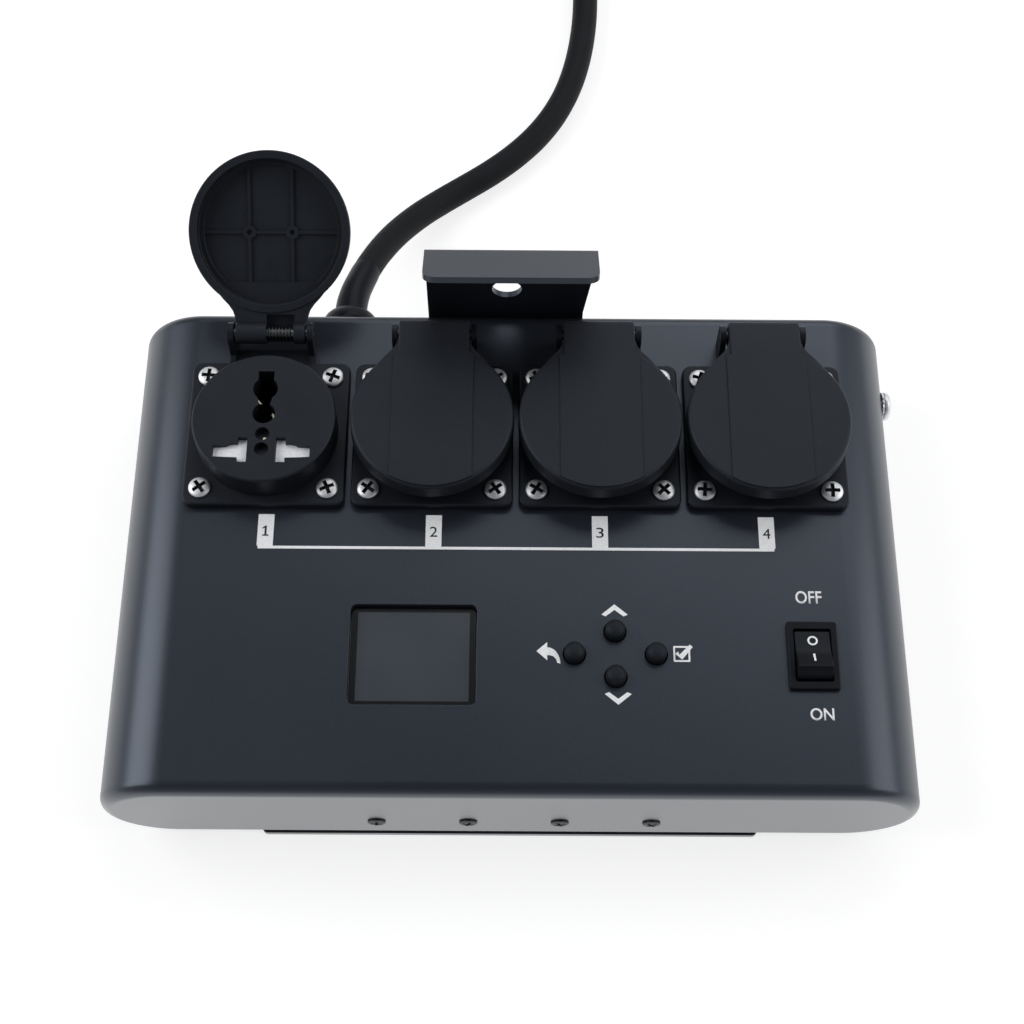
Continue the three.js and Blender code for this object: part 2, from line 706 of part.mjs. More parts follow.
function lidSolid() {
  const cap = toSolid(turned([
    [0, lidRimZ], [lidRimRadius, lidRimZ], [lidTopRadius + lidEdge / 2, lidTopZ - lidEdge],
    [lidTopRadius - lidEdge / 2, lidTopZ], [0, lidTopZ],
  ], wideSides));
  const bandTop = lidTopZ + bandRise;
  const bandRound = rod(lidTopRadius - lidEdge / 2, bandTop - lidRimZ, wideSides, 0, 0, lidRimZ);
  const bandLength = 2 * lidTopRadius;
  const band = block(2 * bandHalf, bandLength, bandRise + lidEdge, 0, 0, bandTop - bandRise - lidEdge);
  const shoulderPoints = [[0.69, 0.69], [0.53, 0.88], [0.44, 1.02]];
  const rightSide = shoulderPoints.map(([x, y]) => [x * lidRimRadius, y * lidRimRadius]);
  const leftSide = rightSide.map(([x, y]) => [-x, y]).reverse();
  const shoulderHeight = lidTopZ - lidEdge - lidRimZ;
  const shoulders = toSolid(extruded(outline([...rightSide, ...leftSide]), shoulderHeight).translate(0, 0, lidRimZ));

  const rise = bandTop - hingeHeight;
  const tonguePoints = [
    [-hingeBack + lidRecessRadius - knuckleRadius, rise], [knuckleRadius * 0.3, rise],
    [knuckleRadius * 0.85, rise * 0.75], [knuckleRadius, rise * 0.3],
  ];
  for (let step = 0; step <= smallSides / 2; step += 1) {
    const angle = -step * turn / smallSides;
    tonguePoints.push([knuckleRadius * Math.cos(angle), knuckleRadius * Math.sin(angle)]);
  }
  tonguePoints.push([-knuckleRadius - tongueUnder, tongueUnder]);
  tonguePoints.push([-hingeBack + lidRecessRadius - knuckleRadius, tongueUnder]);
  const tongue = acrossX(tonguePoints.reverse(), 2 * tongueHalf, 0, hingeBack, hingeHeight);

  const recessTop = lidTopZ - lidSkin;
  const shell = cut(
    join(cap, band.intersect(bandRound), shoulders, tongue),
    rod(lidCavityRadius, lidCavityTop - lidRimZ + overrun, wideSides, 0, 0, lidRimZ - overrun),
    rod(lidRecessRadius, recessTop - lidRimZ, wideSides, 0, 0, lidRimZ),
  );
  const ribZ = recessTop - lidRibDrop;
  const ribHeight = lidRibDrop + lidSkin / 2;
  const recess = rod(lidRecessRadius + lidRibDrop, ribHeight, wideSides, 0, 0, ribZ);
  const ribs = [-1, 1].map((side) => block(
    lidRibThickness, 2 * lidRimRadius, ribHeight, side * lidRibHalfPitch, 0, ribZ,
  ).intersect(recess));
  ribs.push(block(2 * lidRimRadius, lidRibThickness, ribHeight, 0, 0, ribZ).intersect(recess));
  const bosses = [-1, 1].map((side) => rod(lidBossRadius, ribHeight, smallSides, side * lidRibHalfPitch, 0, ribZ));
  const bossHoles = [-1, 1].map((side) => rod(
    lidBossHoleRadius, lidRibDrop + overrun, smallSides / 2, side * lidRibHalfPitch, 0, ribZ - overrun,
  ));
  const bore = rodX(pinBoreRadius, 2 * (tongueHalf + overrun), pinSides, 0, hingeBack, hingeHeight);
  const whole = cut(join(shell, ...ribs, ...bosses), ...bossHoles, bore);
  const geometry = toGeometry(whole).translate(0, -lidHinge.y, -lidHinge.z);
  return toSolid(geometry);
}

const socket = socketSolid();
const shutter = shutterSolid(0, 0, 0);
const lid = lidSolid();
const pinLength = 2 * (earInner + earThickness);
const lidPin = rodX(pinRadius, pinLength, pinSides, 0, 0, 0);
const outletScrew = panScrew(screwHeadRadius, screwHeadHeight, screwShankRadius, screwShankLength, screwCrossLength);

outletPlaces.forEach((x, i) => {
  const number = i + 1;
  const outlet = new THREE.Group();
  outlet.position.set(x, outletY, panelZ);
  dimmer.add(outlet);
  piece(`socket_${number}`, socket, plastic, outlet);
  piece(`shutter_${number}`, shutter, white, outlet);
  const hinge = new THREE.Group();
  hinge.position.copy(lidHinge);
  outlet.add(hinge);
  piece(`lid_pin_${number}`, lidPin, steel, hinge);
  const swing = new THREE.Group();
  swing.rotation.x = i === 0 ? -lidOpenAngle : 0;
  hinge.add(swing);
  piece(`lid_${number}`, lid, plastic, swing);
  screwSigns.forEach(([sx, sy], k) => {
    const screw = piece(`socket_${number}_screw_${k + 1}`, outletScrew, steel, outlet);
    const reach = flangeScrewPitch / 2;
    screw.position.set(sx * reach, sy * reach, flangeThickness);
  });
});

// Display

const lensZ = panelZ - lensSink - lensThickness;
const lensWidth = displayWidth - 2 * gap;
const lensHeight = displayHeight - 2 * gap;
piece('display_lens', slab(lensWidth, lensHeight, lensThickness, displayCorner, displayX, displayY, lensZ), glass);
const moduleRise = lensZ - gap - controlTopZ;
piece('display_module', block(moduleWidth, moduleHeight, moduleRise, displayX, displayY, controlTopZ), blackSteel);

// Keys

const keyCollarTop = panelUnderZ - gap - panelZ;
const keyFoot = controlTopZ + keySwitchHeight + keyTravel + gap - panelZ;
const keySolid = toSolid(turned([
  [0, keyFoot], [keyStemRadius, keyFoot], [keyStemRadius, keyCollarTop - keyCollarThickness],
  [keyCollarRadius, keyCollarTop - keyCollarThickness], [keyCollarRadius, keyCollarTop],
  [keyRadius, keyCollarTop], [keyRadius, keyRise - keyDome],
  [keyRadius * 0.87, keyRise - keyDome * 0.5], [keyRadius * 0.5, keyRise - keyDome * 0.13], [0, keyRise],
], smallSides + 2));
for (const [name, [x, y]] of Object.entries(keyPlaces)) {
  const key = piece(name, keySolid, rubber);
  key.position.set(x, y, panelZ);
}

// Control board, hung on four posts from the panel

const controlY = displayY;
const controlPosts = screwSigns.map(([sx, sy]) => rod(
  postRadius, panelUnderZ - controlTopZ + boardThickness / 2, smallSides,
  controlX + sx * (controlWidth / 2 - postInset / 2),
  controlY + sy * (controlDepth / 2 - postInset), controlTopZ - boardThickness / 2,
));
const keySwitches = Object.values(keyPlaces).map(([x, y]) => block(
  keySwitchSide, keySwitchSide, keySwitchHeight + boardThickness / 2, x, y, controlTopZ - boardThickness / 2,
));
const controlPlate = block(
  controlWidth, controlDepth, boardThickness, controlX, controlY, controlTopZ - boardThickness,
);
const moduleRoom = block(
  moduleWidth + 2 * gap, moduleHeight + 2 * gap, panelUnderZ, displayX, displayY, controlTopZ,
);
piece('control_board', join(cut(join(controlPlate, ...controlPosts), moduleRoom), ...keySwitches), board);

// Rocker switch

const wellWidth = switchWidth - 2 * switchWall;
const wellLength = switchLength - 2 * switchEndWall;
const wellZ = panelZ - rockerPivotSink - wellDepth;
const bezel = slab(bezelWidth, bezelLength, bezelRise, bezelCorner, switchX, switchY, panelZ);
const switchBox = block(switchWidth, switchLength, switchDepth + overrun, switchX, switchY, panelZ - switchDepth);
const tabs = [-1, 0, 1].map((side) => block(
  tabWidth, tabThickness, tabLength + overrun, switchX, switchY + side * tabPitch, panelZ - switchDepth - tabLength,
));
const well = block(wellWidth, wellLength, switchDepth + overrun, switchX, switchY, wellZ);
const pivotZ = panelZ - rockerPivotSink;
const pivotRod = rodX(rockerPivotRadius, switchWidth, smallSides, switchX, switchY, pivotZ);
piece('switch_housing', join(cut(join(bezel, switchBox, ...tabs), well), pivotRod), plastic);

const rockerPoints = [];
for (let step = 0; step <= rockerSteps; step += 1) {
  const angle = (quarter - rockerTipAngle) * step / rockerSteps;
  rockerPoints.push([rockerRadius * Math.cos(angle), rockerRadius * Math.sin(angle)]);
}
rockerPoints.push([0, rockerRadius * rockerValleyShare]);
for (let step = rockerSteps; step >= 0; step -= 1) {
  const angle = (quarter - rockerTipAngle) * step / rockerSteps;
  rockerPoints.push([-rockerRadius * Math.cos(angle), rockerRadius * Math.sin(angle)]);
}
rockerPoints.push([-rockerRadius / 2, -rockerRootDepth], [rockerRadius / 2, -rockerRootDepth]);
const rockerSolid = cut(
  acrossX(rockerPoints, rockerWidth),
  rodX(rockerPivotRadius + gap, rockerWidth + 2 * overrun, smallSides, 0, 0, 0),
);
const rocker = piece('switch_rocker', rockerSolid, plastic);
rocker.position.set(switchX, switchY, pivotZ);
rocker.rotation.x = -rockerTilt;

// Earth screw

const earthScrew = panScrew(earthHeadRadius, earthHeadHeight, earthShankRadius, earthShankLength, earthCrossLength);
const sideScrew = piece('earth_screw', earthScrew, steel);
sideScrew.position.set(bodyWidth / 2 + gap, earthScrewY, bodyMidZ);
sideScrew.rotation.y = quarter;

// Front screws, heat bar and main board

const frontScrew = panScrew(frontHeadRadius, frontHeadHeight, frontShankRadius, frontShankLength, frontCrossLength);
frontScrewPlaces.forEach((x, i) => {
  const screw = piece(`front_screw_${i + 1}`, frontScrew, blackSteel);
  screw.position.set(x, frontY - gap, frontScrewZ);
  screw.rotation.x = quarter;
});

const barY = frontY + plateThickness + barThickness / 2;
const bar = block(barWidth, barThickness, barHeight, outletOffset, barY, caseFloorZ);
const devices = frontScrewPlaces.map((x) => block(
  deviceWidth, deviceThickness + overrun, deviceHeight,
  x, barY + (barThickness + deviceThickness - overrun) / 2, caseFloorZ + gap,
));
const barHoles = frontScrewPlaces.map((x) => rodY(
  frontShankRadius + gap, barThickness + deviceThickness, smallSides, x, frontY + plateThickness, frontScrewZ,
));
piece('triac_bar', cut(join(bar, ...devices), ...barHoles), aluminium);

const mainFrontY = mainY - mainDepth / 2;
const mainPosts = screwSigns.map(([sx, sy]) => rod(
  postRadius, mainRise + boardThickness / 2, smallSides,
  sx * (mainWidth / 2 - mainPostInset), mainY + sy * (mainDepth / 2 - mainPostInset), caseFloorZ,
));
const relays = outletPlaces.slice(0, outletCount - 1).map((x) => block(
  relayWidth, relayDepth, relayHeight + boardThickness, x, mainFrontY + relayBack, mainZ,
));
const terminals = block(
  terminalWidth, terminalDepth, terminalHeight + boardThickness, 0, mainY + mainDepth / 2 - terminalInset, mainZ,
);
const mainPlate = block(mainWidth, mainDepth, boardThickness, 0, mainY, mainZ);
piece('main_board', join(mainPlate, ...mainPosts, ...relays, terminals), board);

const chokeRing = turned([
  [chokeBoreRadius, 0], [chokeRadius - chokeChamfer, 0], [chokeRadius, chokeChamfer],
  [chokeRadius, chokeHeight - chokeChamfer], [chokeRadius - chokeChamfer, chokeHeight],
  [chokeBoreRadius, chokeHeight], [chokeBoreRadius, 0],
], roundSides);
const choke = piece('filter_choke', toSolid(chokeRing), ferrite);
choke.position.set(chokeX, chokeY, mainZ + boardThickness);

// Data connectors

function connector(x) {
  const flange = extruded(roundedRect(dataFlangeWidth, dataFlangeHeight, dataCorner), dataFlangeThickness);
  flange.rotateX(-quarter).translate(x, rearY, bodyMidZ);
  const outerY = rearY + dataFlangeThickness;
  const barrel = rodY(dataBarrelRadius, dataBarrelDepth + dataFlangeThickness / 2, roundSides,
    x, rearY + dataFlangeThickness / 4 - dataBarrelDepth / 2, bodyMidZ);
  const body = join(toSolid(flange), barrel);
  const cupY = outerY - dataCupDepth / 2 + overrun / 2;
  return { body, outerY, cup: rodY(dataCupRadius, dataCupDepth + overrun, roundSides, x, cupY, bodyMidZ) };
}

function pinCircle(x, y, radius, length, upwards) {
  return Array.from({ length: dataPinCount }, (_, i) => {
    const angle = upwards * quarter + i * turn / dataPinCount;
    const px = x + dataPinCircle * Math.cos(angle);
    return rodY(radius, length, smallSides, px, y, bodyMidZ + dataPinCircle * Math.sin(angle));
  });
}

const dataIn = connector(dataInX);
const pinY = dataIn.outerY - dataCupDepth + dataPinLength / 2 - overrun / 2;
const dataPins = pinCircle(dataInX, pinY, dataPinRadius, dataPinLength + overrun, 1);
piece('dmx_in', join(cut(dataIn.body, dataIn.cup), ...dataPins), plastic);

const dataOut = connector(dataOutX);
const coreLength = dataCupDepth - dataCoreSink;
const coreY = dataOut.outerY - dataCupDepth + coreLength / 2 - overrun / 2;
const core = rodY(dataCoreRadius, coreLength + overrun, roundSides, dataOutX, coreY, bodyMidZ);
const coreHoleY = dataOut.outerY - dataPinLength / 2;
const coreHoles = pinCircle(dataOutX, coreHoleY, dataPinHoleRadius, dataPinLength, 1);
piece('dmx_out', cut(join(cut(dataOut.body, dataOut.cup), core), ...coreHoles), plastic);

// Gland

const glandProfile = [
  [0, -plateThickness - glandLockLength], [glandLockRadius, -plateThickness - glandLockLength],
  [glandLockRadius, -plateThickness - gap], [glandThreadRadius, -plateThickness - gap], [glandThreadRadius, gap],
  [glandDomeRadius, gap], [glandDomeRadius, glandNutLength],
  [glandDomeRadius * 0.92, glandNutLength + glandDomeLength * 0.5],
  [glandMouthRadius, glandNutLength + glandDomeLength], [0, glandNutLength + glandDomeLength],
];
const glandBody = toSolid(turned(glandProfile, roundSides));
const gland = piece('cord_gland', join(glandBody, rod(glandNutRadius, glandNutLength, glandNutSides, 0, 0, gap)), plastic);
gland.position.set(glandX, rearY, glandZ);
gland.rotation.x = -quarter;

// Cord: a stretch from the gland, a piled coil, and a short end to the plug

const cordRadius = cordDiameter / 2;

function cordTube(points, sides, steps) {
  const section = new THREE.Shape();
  section.absarc(0, 0, cordRadius, 0, turn, false);
  const curve = new THREE.CatmullRomCurve3(points, false, 'centripetal');
  const length = curve.getLength();
  const geometry = new THREE.ExtrudeGeometry(section, { steps, curveSegments: sides / 2, extrudePath: curve });
  return { geometry, length };
}

const coilLayerStep = cordDiameter + (coilPitch - cordDiameter);
const coilOuterRadius = coilMidRadius + coilPitch * coilTurnsPerLayer / 2;
const coilInnerRadius = coilMidRadius - coilPitch * coilTurnsPerLayer / 2;
const coilTotalSteps = 2 * coilTurnsPerLayer * coilSteps;

// Centre line of the coil: it comes in heading +Y and leaves heading +Y, a layer higher
function coilPoint(step) {
  const turns = step / coilSteps - coilTurnsPerLayer;
  const radius = coilInnerRadius + coilPitch * Math.abs(turns);
  const climb = Math.min(Math.max(2 * turns + 0.5, 0), 1);
  const angle = turn * (turns + coilTurnsPerLayer);
  return new THREE.Vector3(
    coilX + radius * Math.cos(angle),
    coilY + radius * Math.sin(angle),
    cordRadius + coilLayerStep * climb,
  );
}

const coilLine = [];
for (let step = 0; step <= coilTotalSteps; step += 1) {
  coilLine.push(coilPoint(step));
}
const coilStart = coilLine[0].clone().setY(coilY - cordDiameter);
const coilEnd = coilLine[coilLine.length - 1].clone().setY(coilY + cordDiameter);
coilLine.unshift(coilStart);
coilLine.push(coilEnd);

// One unbroken tube: a ring of points at each place on the line, square to it
function coilGeometry(line) {
  const positions = [];
  const last = line.length - 1;
  const rings = line.map((point, i) => {
    const ahead = line[Math.min(i + 1, last)].clone().sub(line[Math.max(i - 1, 0)]);
    if (i === 0 || i === last) ahead.set(0, 1, 0);
    ahead.normalize();
    const aside = new THREE.Vector3(0, 0, 1).cross(ahead).normalize();
    const above = ahead.clone().cross(aside);
    return Array.from({ length: coilSides }, (_, k) => {
      const angle = quarter + k * turn / coilSides;
      return point.clone()
        .addScaledVector(aside, cordRadius * Math.cos(angle))
        .addScaledVector(above, cordRadius * Math.sin(angle));
    });
  });
  rings.flat().forEach((point) => positions.push(point.x, point.y, point.z));
  const first = positions.length / 3;
  positions.push(...line[0].toArray(), ...line[last].toArray());
  const index = [];
  for (let i = 0; i < last; i += 1) {
    for (let k = 0; k < coilSides; k += 1) {
      const a = i * coilSides + k;
      const b = i * coilSides + (k + 1) % coilSides;
      index.push(a, b, b + coilSides, a, b + coilSides, a + coilSides);
    }
  }
  for (let k = 0; k < coilSides; k += 1) {
    const next = (k + 1) % coilSides;
    index.push(first, next, k, first + 1, last * coilSides + k, last * coilSides + next);
  }
  const geometry = new THREE.BufferGeometry();
  geometry.setAttribute('position', new THREE.Float32BufferAttribute(positions, 3));
  geometry.setIndex(index);
  return geometry;
}

// Least gap of the tube to itself, between points more than half a turn apart
function coilGap(line) {
  let least = Infinity;
  for (let i = 0; i < line.length; i += 1) {
    for (let j = i + coilSteps / 2; j < line.length; j += 1) {
      const nextJ = line[Math.min(j + 1, line.length - 1)];
      for (const share of [0, 0.25, 0.5, 0.75]) {
        const other = line[j].clone().lerp(nextJ, share);
        least = Math.min(least, line[i].distanceTo(other) - cordDiameter);
      }
    }
  }
  return least;
}

const routePoints = cordRoute.map((point) => new THREE.Vector3(...point));
routePoints.push(coilStart.clone().setY(coilStart.y - gap));
routePoints[routePoints.length - 2].x = coilStart.x;
const cordSteps = Math.round(new THREE.CatmullRomCurve3(routePoints).getLength() / (2 * cordDiameter));
const leadTube = cordTube(routePoints, cordSides, cordSteps);
piece('mains_cord', toSolid(leadTube.geometry), rubber);
piece('cord_coil', toSolid(coilGeometry(coilLine)), rubber);

const tailPoints = [new THREE.Vector3(coilEnd.x, coilEnd.y + gap, coilEnd.z)];
tailPoints.push(new THREE.Vector3(coilEnd.x, coilEnd.y + cordDiameter, coilEnd.z));
for (let step = 1; step <= tailSteps; step += 1) {
  const angle = quarter * step / tailSteps;
  tailPoints.push(new THREE.Vector3(
    coilEnd.x + tailBendRadius * (1 - Math.cos(angle)),
    coilEnd.y + cordDiameter + tailBendRadius * Math.sin(angle),
    THREE.MathUtils.lerp(coilEnd.z, plugZ, step / tailSteps),
  ));
}
const tailEnd = tailPoints[tailPoints.length - 1];
tailPoints.push(new THREE.Vector3(tailEnd.x + tailStraight, tailEnd.y, plugZ));
const tailTube = cordTube(tailPoints, cordSides, tailSteps + 1);
piece('cord_tail', toSolid(tailTube.geometry), rubber);

// Plug with three flat pins, lying on its side; built upright along +Z and laid along +X

const plugFace = plugNeckLength + plugLength - plugTaper;
const plugBody = slab(plugHeight, plugWidth, plugLength - plugTaper, plugCorner, 0, 0, plugNeckLength);
const plugNeck = toSolid(turned([
  [0, 0], [plugNeckRadius * 0.8, 0], [plugNeckRadius, plugNeckLength / 2], [plugHeight / 2 - gap, plugNeckLength + gap],
  [0, plugNeckLength + gap],
], roundSides));
const blades = [[0, -1, 0], [1, 1, 1], [-1, 1, -1]].map(([across, along, lean]) => {
  const blade = new THREE.BoxGeometry(bladeThickness, bladeWidth, bladeLength + overrun);
  blade.rotateZ(lean * bladeTilt);
  const side = bladeCircle * (across === 0 ? 1 : Math.SQRT1_2);
  return toSolid(blade.translate(across * side, along * side, plugFace + (bladeLength - overrun) / 2));
});
const plug = piece('mains_plug', join(plugBody, plugNeck, ...blades), rubber);
plug.position.set(tailEnd.x + tailStraight + gap, tailEnd.y, plugZ);
plug.rotation.y = quarter;

const coilLength = coilLine.slice(1).reduce((sum, point, i) => sum + point.distanceTo(coilLine[i]), 0);
console.log('coil: least gap to itself', coilGap(coilLine).toFixed(2), 'mm');
console.log('cord: lead', leadTube.length.toFixed(0), 'coil', coilLength.toFixed(0), 'tail', tailTube.length.toFixed(0), 'mm');

export default dimmer;
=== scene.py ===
# %% [markdown]
# # A four-channel stage dimmer pack
# The pack is a flat black case with four lidded outlets, a display, four keys, a rocker switch,
# a hanging bracket behind and a mains cord. The measured solids are loaded first, and every
# piece that is made here sits where those solids are.

from math import atan2, cos, pi, radians, sin, sqrt, tan, tau

import bmesh
import bpy
from mathutils import Matrix, Vector


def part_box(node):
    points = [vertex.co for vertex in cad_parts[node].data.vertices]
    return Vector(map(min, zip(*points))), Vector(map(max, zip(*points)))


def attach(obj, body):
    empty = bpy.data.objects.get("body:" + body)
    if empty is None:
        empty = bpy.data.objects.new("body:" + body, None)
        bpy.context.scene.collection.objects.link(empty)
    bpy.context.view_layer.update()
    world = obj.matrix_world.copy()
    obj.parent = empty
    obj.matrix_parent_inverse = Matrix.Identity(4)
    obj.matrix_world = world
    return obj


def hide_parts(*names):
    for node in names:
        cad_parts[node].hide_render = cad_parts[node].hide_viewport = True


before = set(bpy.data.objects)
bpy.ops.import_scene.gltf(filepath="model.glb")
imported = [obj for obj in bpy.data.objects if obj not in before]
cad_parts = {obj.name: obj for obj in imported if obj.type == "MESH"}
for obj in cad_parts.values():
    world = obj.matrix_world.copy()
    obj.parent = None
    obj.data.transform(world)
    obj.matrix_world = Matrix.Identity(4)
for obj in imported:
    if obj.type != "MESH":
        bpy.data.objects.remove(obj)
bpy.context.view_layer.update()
MM = 0.001


# %% [markdown]
# ## Camera
# The photograph looks steeply down on the pack from the front. The lens, the height and the
# three angles were found by fitting the outlets' flanges, the case's edges and the bracket.
# The axes are worked out from those angles, because a small roll is easy to lose in Euler angles.

# %% The camera at the photograph's viewing angle


def linked(name, data):
    """A new object that holds the data, in the scene's collection."""
    made = bpy.data.objects.new(name, data)
    bpy.context.collection.objects.link(made)
    return made


PITCH, YAW, ROLL = radians(64.64), radians(0.31), radians(0.64)
EYE, FOCAL_SHARE, SENSOR_WIDTH = (-0.0012, -0.2215, 0.5306), 1750 / 1024, 36
forward = Vector((sin(YAW) * cos(PITCH), cos(YAW) * cos(PITCH), -sin(PITCH)))
level_right = Vector((cos(YAW), -sin(YAW), 0))
level_up = level_right.cross(forward)
right = cos(ROLL) * level_right + sin(ROLL) * level_up
up = cos(ROLL) * level_up - sin(ROLL) * level_right
camera_data = bpy.data.cameras.new("camera")
camera_data.sensor_width = SENSOR_WIDTH
camera_data.lens = FOCAL_SHARE * SENSOR_WIDTH
camera_data.clip_start = 0.01
camera = linked("camera", camera_data)
camera.matrix_world = Matrix.Translation(EYE) @ Matrix((right, up, -forward)).transposed().to_4x4()
bpy.context.scene.camera = camera
print("lens, mm:", round(camera_data.lens, 2))

# %% [markdown]
# ## Material maths
# Each finish is a small tree of nodes. Writing the sums as plain Python is easier to read than
# a page of links, so a value in the tree is wrapped in a class whose operators add Math nodes.
# A finish also keeps the name of its slot, though nothing here gives that slot to its pieces.

# %% A value that can be used in a sum, and a finish that holds its tree


class Value:
    """One output in a tree of nodes."""

    def __init__(self, tree, socket):
        self.tree, self.socket = tree, socket

    def math(self, operation, *terms, clamp=False):
        return self.tree.node("ShaderNodeMath", {"operation": operation, "use_clamp": clamp}, terms)

    def __add__(self, other):
        return self.math("ADD", self, other)

    def __radd__(self, other):
        return self.math("ADD", other, self)

    def __sub__(self, other):
        return self.math("SUBTRACT", self, other)

    def __rsub__(self, other):
        return self.math("SUBTRACT", other, self)

    def __mul__(self, other):
        return self.math("MULTIPLY", self, other)

    def __rmul__(self, other):
        return self.math("MULTIPLY", other, self)

    def above(self, edge, softness):
        """0 below the edge, 1 above it, over a soft step."""
        return self.math("MULTIPLY", self - (edge - softness / 2), 1 / softness, clamp=True)

    def below(self, edge, softness):
        return 1 - self.above(edge, softness)


class Tree:
    """A tree of shader nodes, built by name and by sum."""

    def __init__(self, nodes_and_links):
        self.tree = nodes_and_links

    def feed(self, socket, term):
        if isinstance(term, Value):
            self.tree.links.new(term.socket, socket)
        elif term is not None:
            socket.default_value = term

    def node(self, kind, settings=None, inputs=(), output=0):
        made = self.tree.nodes.new(kind)
        for key, value in (settings or {}).items():
            if key == "stops":
                for stop, (place, colour) in zip(made.color_ramp.elements, value):
                    stop.position, stop.color = place, (*colour, 1)
            else:
                setattr(made, key, value)
        for key, term in inputs.items() if isinstance(inputs, dict) else enumerate(inputs):
            self.feed(made.inputs[key], term)
        return Value(self, made.outputs[output] if made.outputs else None)

    def place(self, source="Object"):
        return self.node("ShaderNodeTexCoord", output=source)

    def noise(self, scale, detail=2.0, rough=0.5, at=None):
        terms = {"Vector": at or self.place(), "Scale": scale, "Detail": detail, "Roughness": rough}
        return self.node("ShaderNodeTexNoise", {}, terms)

    def axis(self, name):
        return self.node("ShaderNodeSeparateXYZ", {}, [self.place()], output=name)

    def blend(self, factor, first, second):
        first, second = ((*term, 1) if isinstance(term, tuple) else term for term in (first, second))
        settings = {"data_type": "RGBA", "clamp_factor": True}
        return self.node("ShaderNodeMix", settings, {0: factor, 6: first, 7: second}, output=2)


class Finish(Tree):
    """A material with one Principled shader, whose uniform numbers are given by name."""

    def __init__(self, name, slot=None, **uniform):
        self.slot = slot
        self.material = bpy.data.materials.new(name)
        self.material.use_nodes = True
        super().__init__(self.material.node_tree)
        self.shader = self.tree.nodes["Principled BSDF"]
        for key, value in uniform.items():
            self.shader.inputs[key.replace("_", " ")].default_value = value

    def paint(self, colour, roughness, metallic=None, height=None, relief=0.02):
        """Feeds the shader. relief is the height, in millimetres, of the bump's tallest grain."""
        bump = None
        if height is not None:
            terms = {"Strength": 1.0, "Distance": relief * MM, "Height": height}
            bump = self.node("ShaderNodeBump", {}, terms)
        surface = {"Base Color": colour, "Roughness": roughness, "Metallic": metallic, "Normal": bump}
        for name, term in surface.items():
            self.feed(self.shader.inputs[name], term)


# %% [markdown]
# ## Studio
# The floor is pale. It counts as white for the camera and for reflections, but keeps a plain
# grey for the light that it bounces, so that black paint isn't lit from below by a white field.
# Two large soft lamps stand at the sides, where they draw a pale line down each rounded edge of
# the case. A third stands high behind it, so the panel's sheen fades toward the front. The world
# is paler at the horizon than overhead, like a tent with a dark hole for the camera.

# %% Floor, world and lamps
FLOOR_REACH, FLOOR_GREY, FLOOR_GLOW = 6, (0.42, 0.42, 0.42, 1), 0.75
HORIZON, OVERHEAD = (0.0, (0.44, 0.455, 0.48)), (0.97, (0.069, 0.074, 0.084))
LAMPS = {
    "left lamp": ((-1.2, 0.2, 1.0), 1.1, 11.5),
    "right lamp": ((1.25, 0.1, 0.95), 1.1, 8.0),
    "back lamp": ((0.35, 1.2, 1.3), 1.3, 8.2),
}
paper = Finish("studio floor", Roughness=0.9, Specular_IOR_Level=0.1, Base_Color=FLOOR_GREY)
seen, mirrored, through = [
    paper.node("ShaderNodeLightPath", output=f"Is {kind} Ray")
    for kind in ("Camera", "Glossy", "Transmission")
]
shown = seen.math("ADD", seen, mirrored + through, clamp=True)
glow = paper.node("ShaderNodeEmission", {}, {"Color": (1, 1, 1, 1), "Strength": FLOOR_GLOW})
bounced = Value(paper, paper.shader.outputs[0])
together = paper.node("ShaderNodeAddShader", {}, [bounced, glow])
mixed = paper.node("ShaderNodeMixShader", {}, [shown, bounced, together])
paper.feed(paper.tree.nodes["Material Output"].inputs["Surface"], mixed)
floor_mesh = bpy.data.meshes.new("floor")
corners = [(x * FLOOR_REACH, y * FLOOR_REACH, 0) for x, y in ((-1, -1), (1, -1), (1, 1), (-1, 1))]
floor_mesh.from_pydata(corners, [], [(0, 1, 2, 3)])
floor_mesh.materials.append(paper.material)
linked("floor", floor_mesh)

world = bpy.data.worlds.new("studio")
world.use_nodes = True
bpy.context.scene.world = world
world.node_tree.nodes.clear()
sky = Tree(world.node_tree)
height = sky.node("ShaderNodeSeparateXYZ", {}, [sky.place("Generated")], output="Z")
fade = sky.node("ShaderNodeValToRGB", {"stops": [HORIZON, OVERHEAD]}, [height])
ambient = sky.node("ShaderNodeBackground", {}, {"Color": fade, "Strength": 1})
backdrop = sky.node("ShaderNodeBackground", {}, {"Strength": 1})
camera_ray = sky.node("ShaderNodeLightPath", output="Is Camera Ray")
sky.node("ShaderNodeOutputWorld", {}, [sky.node("ShaderNodeMixShader", {}, [camera_ray, ambient, backdrop])])

for name, (place, size, watts) in LAMPS.items():
    lamp_data = bpy.data.lights.new(name, "AREA")
    lamp_data.shape, lamp_data.size, lamp_data.energy = "SQUARE", size, watts
    aim = (-Vector(place)).to_track_quat("-Z", "Y")
    linked(name, lamp_data).matrix_world = Matrix.Translation(place) @ aim.to_matrix().to_4x4()
bpy.context.scene.view_settings.view_transform = "Standard"
print("lamps:", len(LAMPS))

# %% [markdown]
# ## Finishes
# The case is powder coated: a fine pebbled skin under a smooth clear layer. Its clear layer is
# what turns a face pale when the view grazes it, as on the front, while the panel seen from
# above stays near black. The grain is kept low and even, so the paint doesn't look dusty.

